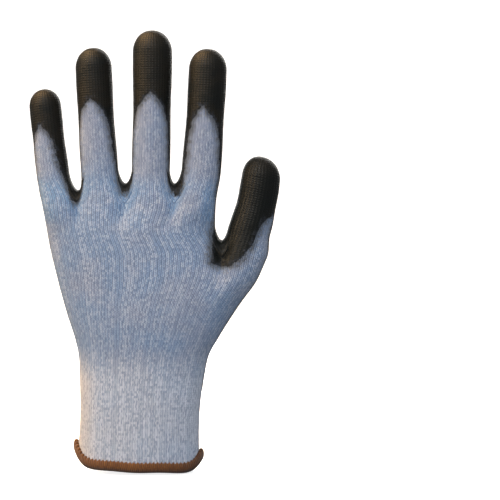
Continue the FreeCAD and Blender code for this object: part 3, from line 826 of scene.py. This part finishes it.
def lay_pieces(cloth, prefix, make, finish):
    """Cuts one tube of the liner or film into its pieces, puts each on its body when it has one, hides the solid it
    stands for and gives it its finish.
    """
    solid = {"liner": "knit", "film": "coating"}[prefix]
    cuts = []
    if cloth.name == "sleeve":
        for name, low, high, bodies, zone, body in SLEEVE_PIECES:
            cuts.append((name, low, high, bodies, [at_height(z) for z in zone or ()], body))
    elif cloth.name == "palm":
        cuts.append(("hand", cloth.height[0], None, ("palm",), [], "palm"))
    else:
        digit = next(d for d in DIGITS if d.name == cloth.name)
        parts = ("root", "base", "end") if digit.name == "thumb" else ("base", "mid", "end")
        bodies = ["palm"] + [f"{digit.name}_{part}" for part in parts]
        turn_from, turn_to, second, third, turned = digit.folds
        spans = ((cloth.height[0], second, turn_from, turn_to), (second, third, second, third),
                 (third, None, third, turned))
        for i, (low, high, start, end) in enumerate(spans):
            zone = [along(digit, start), along(digit, end)]
            cuts.append((bodies[i + 1], low, high, (bodies[i], bodies[i + 1]), zone, bodies[i + 1]))
    for name, low, high, bodies, zone, body in cuts:
        rows = rows_of(cloth, low, high)
        if prefix == "film" and rows.reach.max() < FILM_FADES + 1:
            continue
        piece = make(rows, f"{prefix}_{name}")
        piece.data.materials.append(finish)
        hold(piece, bodies, *zone)
        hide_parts(f"{solid}_{body}")


# ---------------------------------------------------------------- finishes

def tone(red, green, blue):
    """A linear colour from display values out of 255."""
    return tuple(((v / 255 + 0.055) / 1.055) ** 2.4 if v > 10 else v / 255 / 12.92 for v in (red, green, blue))


class Wire:
    """A value in a material. Arithmetic on wires and numbers adds Math nodes."""

    def __init__(self, recipe, socket):
        self.recipe, self.socket = recipe, socket

    def math(self, operation, *terms):
        """One Math node."""
        return self.recipe.node("ShaderNodeMath", {"operation": operation}, dict(enumerate(terms)))

    def __add__(self, other):
        return self.math("ADD", self, other)

    def __sub__(self, other):
        return self.math("SUBTRACT", self, other)

    def __rsub__(self, other):
        return self.math("SUBTRACT", other, self)

    def __mul__(self, other):
        return self.math("MULTIPLY", self, other)

    def __truediv__(self, other):
        return self.math("DIVIDE", self, other)

    def __rtruediv__(self, other):
        return self.math("DIVIDE", other, self)

    def __abs__(self):
        return self.math("ABSOLUTE", self)

    __radd__, __rmul__ = __add__, __mul__

    def fract(self):
        """The part after the whole number."""
        return self.math("FRACT", self)

    def floor(self):
        """The whole number at or below."""
        return self.math("FLOOR", self)

    def sine(self):
        """Sine of an angle in radians."""
        return self.math("SINE", self)

    def cosine(self):
        """Cosine of an angle in radians."""
        return self.math("COSINE", self)

    def positive(self):
        """The value, or 0 where it is negative."""
        return self.math("MAXIMUM", self, 0.0)

    def rising(self, low, high):
        """0 below low, 1 above high, smooth between; falls instead where low is the greater."""
        flip = low > high
        wire = self.recipe.node(
            "ShaderNodeMapRange", {"interpolation_type": "SMOOTHSTEP"},
            {"Value": self, "From Min": min(low, high), "From Max": max(low, high)},
        )
        return 1 - wire if flip else wire


class Recipe:
    """One material and the ways to add to it."""

    def __init__(self, name, roughness, sheen=0.0):
        self.material = bpy.data.materials.new(name)
        self.material.use_nodes = True
        self.shader = self.material.node_tree.nodes["Principled BSDF"]
        self.shader.inputs["Roughness"].default_value = roughness
        self.shader.inputs["Sheen Weight"].default_value = sheen

    def node(self, kind, settings=None, inputs=None, output=0):
        """Adds a node, with its settings first and then a number, a colour or a wire for each of its sockets."""
        node = self.material.node_tree.nodes.new(kind)
        for setting, value in (settings or {}).items():
            setattr(node, setting, value)
        for socket, value in (inputs or {}).items():
            self.join(value, node.inputs[socket])
        return Wire(self, node.outputs[output])

    def join(self, value, socket):
        """Links a wire to a socket, or sets the socket to a number or colour."""
        if isinstance(value, Wire):
            self.material.node_tree.links.new(value.socket, socket)
        elif socket.type == "RGBA":
            socket.default_value = (*value, 1.0)
        else:
            socket.default_value = value

    def feed(self, **sockets):
        """Feeds the shader's sockets, named with underscores for spaces."""
        for socket, value in sockets.items():
            self.join(value, self.shader.inputs[socket.replace("_", " ")])

    def split(self, vector):
        """The three parts of a vector."""
        first = self.node("ShaderNodeSeparateXYZ", inputs={0: vector})
        return [Wire(self, output) for output in first.socket.node.outputs]

    def layer(self, name, output="Fac"):
        """A value that the mesh holds for each point."""
        return self.node("ShaderNodeAttribute", {"attribute_name": name}, output=output)

    def stitches(self):
        """Wale and course."""
        return self.split(self.node("ShaderNodeUVMap", {"uv_map": "stitches"}))[:2]

    def vector(self, x, y, z):
        """A vector from its three parts."""
        return self.node("ShaderNodeCombineXYZ", inputs={0: x, 1: y, 2: z})

    def stretched(self, vector, scale):
        """A vector with each part scaled on its own."""
        return self.node("ShaderNodeVectorMath", {"operation": "MULTIPLY"}, {0: vector, 1: scale})

    def noise(self, vector, scale, detail=2.0, distortion=0.0):
        """Cloudy noise around 0.5, scale in cells for each millimetre."""
        return self.node("ShaderNodeTexNoise", inputs={"Vector": vector, "Scale": scale, "Detail": detail,
                                                       "Distortion": distortion})

    def chance(self, vector):
        """A number from 0 to 1 for each whole place."""
        return self.node("ShaderNodeTexWhiteNoise", {"noise_dimensions": "3D"}, {"Vector": vector})

    def mix(self, share, first, second):
        """A colour between two: the first at share 0, the second at share 1."""
        return self.node("ShaderNodeMix", {"data_type": "RGBA"}, {0: share, 6: first, 7: second}, output=2)

    def bump(self, height, distance, strength):
        """A normal that leans as a height does; distance is in metres."""
        return self.node("ShaderNodeBump", inputs={"Height": height, "Distance": distance, "Strength": strength})

    def knit_relief(self, wale, course):
        """The stitches' height, by the same rule as the mesh's: two legs that spread as they climb."""
        a, b = wale.fract(), course.fract()
        off = abs(abs(a - 0.5) - (b * 0.13 + 0.15)) / 0.17
        return (1 - off * off).positive() * ((b * math.pi).sine() * 0.45 + 0.55)


def knit_finish(liner):
    """Marled blue-grey yarn: pale and blue fibres, painted shadow between the stitches, paler in the cuff, dark by the
    dip, with painted shade in the valleys between the knuckles and painted warm light on the cuff's little-finger side.
    """
    m = Recipe("marled_knit", 0.93, sheen=0.25)
    wale, course = m.stitches()
    laid, dip = m.layer("laid", "Vector"), m.layer("dip")
    x, y, z = m.split(laid)
    relief = m.knit_relief(wale, course)
    leg = m.chance(m.vector((wale * 2).floor(), course.floor(), 0.0))
    rib = m.chance(m.vector(wale.floor(), 3.0, 7.0))
    fibre = m.noise(laid, 2.6, 3.0, 0.4)
    cloud = m.noise(laid, 0.045, 2.0, 0.2)
    cuff = z.rising(74.0, 48.0)
    # Partly painted shade: the blue share is random clouds of marl, plus bluer, darker yarn in the valleys between the
    # knuckles.
    knuckle_valley_shade = z.rising(138.0, 148.0) * z.rising(170.0, 158.0) * y.rising(-12.4, -9.0)
    blueness = (cloud.rising(0.35, 0.65) * 0.5 + 0.12 + knuckle_valley_shade * 0.85 - z.rising(160.0, 180.0) * 0.4).positive()
    body = m.mix(blueness, liner.yarn_grey, liner.yarn_blue)
    flecks = (leg * 0.5 + fibre * 0.7 + rib * 0.32 - 0.65).rising(0.0, 0.42)
    body = m.mix(cuff * 0.42, body, liner.yarn_pale)
    body = m.mix(flecks * (cuff * 0.35 + 0.30), body, liner.yarn_pale)
    # Painted warm light: the cuff turns creamy towards the little finger's side, where the warm lamps come from.
    body = m.mix(cuff * x.rising(-20.0, -33.0) * 0.4, body, liner.painted_warm_light)
    deep = (leg * 0.6 + fibre * 0.5).rising(0.5, 0.22)
    body = m.mix(deep * 0.38, body, liner.yarn_deep)
    body = m.mix((1 - relief.rising(0.0, 0.5)) * (0.70 - cuff * 0.16), body, liner.yarn_deep)
    soak = (dip + (leg - 0.5) * 2.2 + (fibre - 0.5) * 2.4).rising(-4.4, 0.6)
    body = m.mix(soak * 0.9, body, liner.soaked)
    strand = ((wale * 14 + course * 9) * math.pi).sine()
    height = relief + strand * 0.08 + fibre * 0.25
    m.feed(Base_Color=body, Roughness=0.95 - soak * 0.2, Normal=m.bump(height, 0.00022, 0.75))
    return m.material


def film_finish(dip):
    """A dark polymer skin with a painted grey sheen on the palm and down the digits' palm side, painted warm
    reflections in the palm's hollows and a brown cast that is partly painted warm reflection: knit shows through where
    thin, with crinkles and pores where thick.
    """
    m = Recipe("dipped_film", dip.roughness)
    m.feed(Specular_IOR_Level=0.2)
    wale, course = m.stitches()
    laid, reach = m.layer("laid", "Vector"), m.layer("dip")
    _, y, z = m.split(laid)
    dots = (1 - ((wale * (2 * math.pi)).cosine() * 0.5 + 0.5)) * (1 - ((course * (2 * math.pi)).cosine() * 0.5 + 0.5))
    slow = m.noise(laid, 0.07, 2.0, 0.4)
    grain = m.noise(laid, 1.25, 3.0, 0.6)
    leg = m.chance(m.vector((wale * 2).floor(), course.floor(), 0.0))
    palm = y.rising(3.0, 9.0) * z.rising(56.0, 72.0) * z.rising(176.0, 160.0)
    thin = (reach + (leg - 0.5) * 2.6 + (grain - 0.5) * 2.2).rising(2.8, -0.2)
    # The brown cast is partly random warmer clouds in the film and partly painted warm reflection, strongest at the
    # fingertips and on the palm side.
    tips = m.noise(laid, 0.16, 2.0, 0.5).rising(0.42, 0.68)
    warm = z.rising(152.0, 186.0) * 0.7 + y.rising(0.0, 6.0) * 0.5 + 0.15
    body = m.mix(slow.rising(0.3, 0.7) * warm * 0.7, dip.colour, dip.brown)
    swirl = m.stretched(laid, (0.07, 0.07, 0.42))
    ridges = 1 - abs(m.noise(swirl, 1.0, 2.0, 0.9) - 0.5) * 2
    # Painted sheen: a lighter grey on the middle of the palm and down the middle of each digit's palm side, where the
    # lamps' highlight lies, broken up by the crinkles and the grain.
    painted_sheen_share = y.rising(8.0, 16.5) * z.rising(54.0, 80.0) * (z.rising(134.0, 96.0) * 0.7 + z.rising(154.0, 130.0) * 0.3)
    painted_sheen_share = painted_sheen_share + y.rising(6.2, 10.2) * z.rising(150.0, 176.0) * 0.5
    body = m.mix(painted_sheen_share * (ridges.rising(0.5, 1.0) * 0.36 + grain * 0.35 + slow * 0.2 + 0.12), body, dip.painted_sheen)
    # Painted warm reflection in the hollows of the palm below the crotches.
    body = m.mix(m.layer("worn") * grain.rising(0.2, 0.75), body, dip.worn)
    # Painted warm reflection: brown clouds on the digits, strongest towards the tips.
    body = m.mix(tips * (1 - palm) * warm * 0.35, body, dip.brown)
    body = m.mix(thin * 0.85, body, dip.thin)
    body = m.mix((1 - dots) * (1 - palm) * 0.5, body, dip.pit)
    pores = m.noise(laid, 2.6, 2.0, 0.2)
    height = ridges * palm * 2.2 + grain * (palm * 0.5 + 0.25) + pores * 0.2 + dots * (1.0 - palm * 0.75)
    m.feed(Base_Color=body, Roughness=grain * 0.22 + (dip.roughness - 0.1) + thin * 0.2,
           Normal=m.bump(height, 0.00025, 0.8))
    return m.material


def hem_finish(hem):
    """Close overlock stitches: rounded brown threads with painted shade in the gaps between them, under the hem and
    towards its thumb's side, a little fluff and paler crowns on some threads, from wear.
    """
    m = Recipe("overlock_thread", 0.78, sheen=0.2)
    along_hem, around = m.stitches()
    laid = m.layer("laid", "Vector")
    lean = along_hem + around * HEM_LEAN
    thread = abs((lean * math.pi).sine())
    each = m.chance(m.vector(lean.floor(), 1.0, 2.0))
    fluff = m.noise(laid, 2.4, 3.0, 0.5)
    body = m.mix(each * 0.6 + fluff * 0.4, hem.colour, hem.worn)
    # Painted shade in the gaps between the threads.
    body = m.mix(thread.rising(0.65, 0.1) * 0.8, body, hem.gap)
    x = m.split(laid)[0]
    # Painted shade under the hem and towards the thumb's side, away from the lamps.
    under = around.rising(0.54, 0.66) * around.rising(1.0, 0.9)
    body = m.mix(under * 0.75 + x.rising(22.0, 34.0) * 0.45, body, hem.gap)
    ply = ((lean * 2 + around * 40) * math.pi).sine()
    m.feed(Base_Color=body, Roughness=fluff * 0.2 + 0.68, Normal=m.bump(thread + ply * 0.15 + fluff * 0.3, 0.0002, 0.7))
    return m.material


def elastic_finish(liner):
    """Rubber threads wrapped in pale yarn: a slanting wrap in two tones."""
    m = Recipe("wrapped_elastic", 0.85)
    along_thread, around = m.stitches()
    wrap = ((along_thread + around) * (2 * math.pi)).sine().rising(-0.6, 0.6)
    m.feed(Base_Color=m.mix(wrap, liner.yarn_grey, liner.yarn_pale), Normal=m.bump(wrap, 0.0001, 0.8))
    return m.material


def paper_finish(colour):
    """Plain white paper that glows a little, as lit from behind, with the faintest mottle."""
    m = Recipe("studio_paper", 0.95)
    m.feed(Emission_Color=tuple(colour), Emission_Strength=0.85)
    place = m.node("ShaderNodeTexCoord", output="Object")
    mottle = m.noise(place, 3.0)
    m.feed(Base_Color=m.mix(mottle * 0.05, colour, tuple(0.9 * c for c in colour)))
    return m.material


# ---------------------------------------------------------------- settings

def colour_of(name, description, red, green, blue):
    """A colour that can be changed, from display values out of 255."""
    return bpy.props.FloatVectorProperty(name=name, description=description, subtype="COLOR", min=0.0, max=1.0,
                                         default=tone(red, green, blue))


def length_of(name, description, millimetres):
    """A length that can be changed."""
    return bpy.props.FloatProperty(name=name, description=description, unit="LENGTH", subtype="DISTANCE",
                                   precision=5, min=0.00001, default=millimetres * MM)


class LinerSettings(bpy.types.PropertyGroup):
    """The knitted liner."""

    thick: length_of("Wall", "Thickness of the knit", 1.2)
    stitch: length_of("Stitch relief", "How far the stitches stand out", 0.2)
    thread: length_of("Elastic", "Thickness of the elastic threads in the cuff", 0.6)
    yarn_grey: colour_of("Grey yarn", "The warmer of the two main tones", 138, 147, 168)
    yarn_blue: colour_of("Blue yarn", "The cooler of the two main tones", 103, 137, 175)
    yarn_pale: colour_of("Pale fibre", "The light flecks", 216, 219, 228)
    # Painted warm light on the little finger's side of the cuff.
    painted_warm_light: colour_of("Cream fibre", "The warm flecks at the side of the cuff", 236, 214, 190)
    yarn_deep: colour_of("Shadow", "Between the stitches", 82, 95, 120)
    soaked: colour_of("Soaked yarn", "Yarn that drank the dip at its edge", 44, 48, 54)


class DipSettings(bpy.types.PropertyGroup):
    """The dipped film."""

    film: length_of("Film", "How far the film stands above the knit", 0.38)
    roughness: bpy.props.FloatProperty(name="Roughness", description="How matt the film is", default=0.46,
                                       min=0.0, max=1.0, subtype="FACTOR")
    colour: colour_of("Film", "Main colour of the film", 8, 13, 13)
    # Painted sheen: the grey highlight on the middle of the palm and down the digits' palm side.
    painted_sheen: colour_of("Haze", "The greyer bloom in the middle of the palm", 122, 115, 116)
    # The brown cast is partly random warmer clouds in the film and partly painted warm reflection towards the
    # fingertips.
    brown: colour_of("Brown cast", "Clouds of a warmer tone", 32, 27, 18)
    # Painted warm reflection: the golden colour painted in the hollows of the palm between the digits.
    worn: colour_of("Hollows", "The film in the hollows between the digits", 128, 86, 40)
    thin: colour_of("Thin film", "Where the knit shows through", 52, 56, 64)
    pit: colour_of("Pits", "Between the stitches beneath", 9, 10, 10)


class HemSettings(bpy.types.PropertyGroup):
    """The overlocked hem."""

    height: length_of("Height", "From the hem's lower to its upper edge", 5.8)
    thick: length_of("Thickness", "Through the hem", 3.2)
    pitch: length_of("Stitch spacing", "From one thread to the next", 1.1)
    colour: colour_of("Thread", "Main colour of the thread", 80, 40, 4)
    worn: colour_of("Crowns", "The paler threads", 108, 64, 12)
    # Painted shade: in the gaps between threads, under the hem and on its thumb's side.
    gap: colour_of("Gaps", "Between the threads", 34, 14, 3)


class StageSettings(bpy.types.PropertyGroup):
    """The studio."""

    paper: colour_of("Paper", "Floor and backdrop", 250, 250, 250)
    surround: bpy.props.FloatProperty(name="Surround", description="Strength of the soft light all round",
                                      default=0.3, min=0.0)
    key: bpy.props.FloatProperty(name="Key", description="Power of the soft lights from above", default=12.8,
                                 min=0.0, unit="POWER")
    side: bpy.props.FloatProperty(name="Side", description="Power of the warm lights from the side", default=10.0,
                                  min=0.0, unit="POWER")
    fill: bpy.props.FloatProperty(name="Fill", description="Power of the cool lights from the front", default=7.6,
                                  min=0.0, unit="POWER")


# ---------------------------------------------------------------- operators

def knit_tubes(scene, names):
    """Knits the named tubes of the liner and lays their pieces."""
    liner = scene.glove_liner
    thick = liner.thick / MM
    finish = bpy.data.materials.get("marled_knit") or knit_finish(liner)
    for cloth in knitted(YARN, thick, liner.stitch / MM):
        if cloth.name in names:
            lay_pieces(cloth, "liner", lambda rows, name: knit_piece(rows, name, YARN, thick), finish)


def dip_tubes(scene, names):
    """Dips the named tubes and lays the pieces of their film."""
    finish = bpy.data.materials.get("dipped_film") or film_finish(scene.glove_dip)
    for cloth in dipped(DIP, scene.glove_dip.film / MM):
        if cloth.name in names:
            lay_pieces(cloth, "film", dip_piece, finish)


class KnitHand(bpy.types.Operator):
    """Knits the cuff, wrist and palm of the liner"""

    bl_idname = "glove.knit_hand"
    bl_label = "Knit the hand"
    bl_options = {"REGISTER", "UNDO"}

    def execute(self, context):
        knit_tubes(context.scene, ("sleeve", "palm"))
        return {"FINISHED"}


class KnitDigits(bpy.types.Operator):
    """Knits the four fingers and the thumb of the liner"""

    bl_idname = "glove.knit_digits"
    bl_label = "Knit the digits"
    bl_options = {"REGISTER", "UNDO"}

    def execute(self, context):
        knit_tubes(context.scene, [digit.name for digit in DIGITS])
        return {"FINISHED"}


class DipHand(bpy.types.Operator):
    """Covers the palm and the heel of the hand with the dipped film"""

    bl_idname = "glove.dip_hand"
    bl_label = "Dip the palm"
    bl_options = {"REGISTER", "UNDO"}

    def execute(self, context):
        dip_tubes(context.scene, ("sleeve", "palm"))
        return {"FINISHED"}


class DipDigits(bpy.types.Operator):
    """Covers the palm side, the sides and the tips of the digits with the dipped film"""

    bl_idname = "glove.dip_digits"
    bl_label = "Dip the digits"
    bl_options = {"REGISTER", "UNDO"}

    def execute(self, context):
        dip_tubes(context.scene, [digit.name for digit in DIGITS])
        return {"FINISHED"}


class SewHem(bpy.types.Operator):
    """Binds the cuff's lower edge with close overlock stitches"""

    bl_idname = "glove.sew_hem"
    bl_label = "Sew the hem"
    bl_options = {"REGISTER", "UNDO"}

    def execute(self, context):
        hem = context.scene.glove_hem
        height, half = hem.height / MM, hem.thick / MM / 2
        length = round_the_cuff(HEM_ROW, 0.0, 8)[2] * 8
        turns = 2 * round(length / (hem.pitch / MM) / 2)
        centre, outward, _ = round_the_cuff(HEM_ROW, HEM_OUT, turns * 8)
        centre[:, 2] = hem_rise(centre[:, 0])
        centre += outward * hem_flare(centre[:, :1])
        angle = np.linspace(0, 2 * math.pi, 24, endpoint=False)[None]
        place = np.arange(len(centre))[:, None] / 8
        thread = np.abs(np.sin(math.pi * (place + HEM_LEAN * angle / (2 * math.pi))))
        bite = 0.42 * np.clip(np.sin(angle), 0, 1) ** 4 * np.cos(math.pi * place)
        slump = 0.25 * np.sin(2 * math.pi * place / turns * 3 + 0.6) + 0.15 * np.sin(2 * math.pi * place / turns * 7)
        swell = 0.93 + 0.09 * thread
        out = half * swell * np.sign(np.cos(angle)) * np.abs(np.cos(angle)) ** 0.75
        up = height / 2 * (1 + swell * np.sign(np.sin(angle)) * np.abs(np.sin(angle)) ** 0.85) + bite + slump + 0.3
        piece = ring_piece("hem", centre, outward, out, up, turns)
        piece.data.materials.append(hem_finish(hem))
        hold(piece, ("cuff",))
        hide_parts("overlock_hem")
        return {"FINISHED"}


class LayElastic(bpy.types.Operator):
    """Lays the elastic threads round the inside of the cuff"""

    bl_idname = "glove.lay_elastic"
    bl_label = "Lay the elastic"
    bl_options = {"REGISTER", "UNDO"}

    def execute(self, context):
        liner = context.scene.glove_liner
        radius = liner.thread / MM / 2
        low, high = (corner[2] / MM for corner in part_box("elastic_threads"))
        finish = elastic_finish(liner)
        angle = np.linspace(0, 2 * math.pi, 8, endpoint=False)[None]
        for i, height in enumerate(np.arange(low + radius, high, ELASTIC_PITCH)):
            centre, outward, _ = round_the_cuff(height, -liner.thick / MM - radius * 0.4, 400)
            wave = radius * (1 + 0.06 * np.sin(np.arange(400) * math.pi / 2)[:, None])
            piece = ring_piece(f"elastic_{i + 1}", centre, outward, wave * np.cos(angle), wave * np.sin(angle), 200)
            piece.data.materials.append(finish)
            hold(piece, ("cuff",))
            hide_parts("elastic_threads")
        return {"FINISHED"}


class SetStage(bpy.types.Operator):
    """Lays the paper, hangs the lights and places the camera"""

    bl_idname = "glove.set_stage"
    bl_label = "Set the stage"
    bl_options = {"REGISTER", "UNDO"}

    def execute(self, context):
        scene = context.scene
        stage = scene.glove_stage
        # The paper lies flat and then sweeps up behind in a quarter circle: a profile carried sideways.
        turn = np.linspace(0, math.pi / 2, 13)
        y = np.concatenate([[-20.0, 0.0], 1.2 + 1.2 * np.sin(turn), [2.4]])
        z = np.concatenate([[0.0, 0.0], 1.2 - 1.2 * np.cos(turn), [4.0]])
        points = np.array([(side * 12.0, a, b) for side in (-1, 1) for a, b in zip(y, z)]) / MM
        n, k = len(y), np.arange(len(y) - 1)
        faces = np.stack([k, k + n, k + n + 1, k + 1], axis=1)
        sweep = make_mesh("paper", points, [faces], [np.zeros((n - 1, 4, 2))], {})
        sweep.data.materials.append(paper_finish(stage.paper))
        sweep.visible_diffuse = sweep.visible_glossy = False
        scene.world = scene.world or bpy.data.worlds.new("studio")
        scene.world.use_nodes = True
        tree = scene.world.node_tree
        background = tree.nodes["Background"]
        background.inputs["Color"].default_value = (1.0, 1.0, 1.0, 1.0)
        # The backdrop is white where it is seen, and dimmer as a light.
        seen = tree.nodes.new("ShaderNodeLightPath").outputs["Is Camera Ray"]
        strength = tree.nodes.new("ShaderNodeMapRange")
        strength.inputs["To Min"].default_value = stage.surround
        tree.links.new(seen, strength.inputs["Value"])
        tree.links.new(strength.outputs["Result"], background.inputs["Strength"])
        middle = np.array([0.005, 0.0, 0.125])
        for name, place, size, power, colour in (
            ("key", (-0.25, -0.85, 1.05), 0.8, stage.key, (1.0, 0.97, 0.93)),
            ("warm_side", (-0.95, -0.45, 0.55), 0.45, stage.side, (1.0, 0.72, 0.42)),
            ("warm_top", (-0.55, 0.12, 1.25), 0.4, stage.side * 2.2, (1.0, 0.62, 0.28)),
            ("cool_fill", (0.45, -1.3, 0.25), 0.9, stage.fill, (0.82, 0.91, 1.0)),
            ("palm_key", (0.3, 1.1, 0.7), 0.8, stage.key * 0.8, (1.0, 0.97, 0.93)),
            ("palm_fill", (-0.2, 1.3, 0.2), 0.9, stage.fill, (0.9, 0.95, 1.0)),
        ):
            lamp = bpy.data.lights.new(name, "AREA")
            lamp.size, lamp.energy, lamp.color = size, power, colour
            light = bpy.data.objects.new(name, lamp)
            light.location = place
            light.visible_glossy = name != "cool_fill"
            light.rotation_mode = "QUATERNION"
            light.rotation_quaternion = Vector(middle - np.array(place)).to_track_quat("-Z", "Y")
            scene.collection.objects.link(light)
        lens = bpy.data.cameras.new("camera")
        lens.sensor_width, lens.lens = 36.0, 139.7
        lens.clip_start, lens.clip_end = 0.01, 50.0
        camera = bpy.data.objects.new("camera", lens)
        camera.location = (0.0635, -1.1, 0.1259)
        camera.rotation_euler = (math.pi / 2, 0.0, 0.0)
        scene.collection.objects.link(camera)
        scene.camera = camera
        scene.view_settings.view_transform = "Standard"
        return {"FINISHED"}


class GlovePanel(bpy.types.Panel):
    """Lists the steps and their settings"""

    bl_idname = "VIEW3D_PT_glove"
    bl_label = "Glove"
    bl_space_type = "VIEW_3D"
    bl_region_type = "UI"
    bl_category = "Glove"

    def draw(self, context):
        layout = self.layout
        for step in STEPS:
            layout.operator(step.bl_idname)
        for holder in SETTINGS:
            group = getattr(context.scene, holder)
            box = layout.box()
            for field in type(group).__annotations__:
                box.prop(group, field)


SETTINGS = {
    "glove_liner": LinerSettings,
    "glove_dip": DipSettings,
    "glove_hem": HemSettings,
    "glove_stage": StageSettings,
}
STEPS = (SetStage, KnitHand, KnitDigits, DipHand, DipDigits, SewHem, LayElastic)


def register():
    for cls in (*SETTINGS.values(), *STEPS, GlovePanel):
        bpy.utils.register_class(cls)
    for holder, group in SETTINGS.items():
        setattr(bpy.types.Scene, holder, bpy.props.PointerProperty(type=group))


def unregister():
    for holder in SETTINGS:
        delattr(bpy.types.Scene, holder)
    for cls in (GlovePanel, *reversed(STEPS), *SETTINGS.values()):
        bpy.utils.unregister_class(cls)


def main():
    """Makes every piece in order."""
    register()
    for step in STEPS:
        family, action = step.bl_idname.split(".")
        getattr(getattr(bpy.ops, family), action)()


if __name__ == "__main__":
    main()
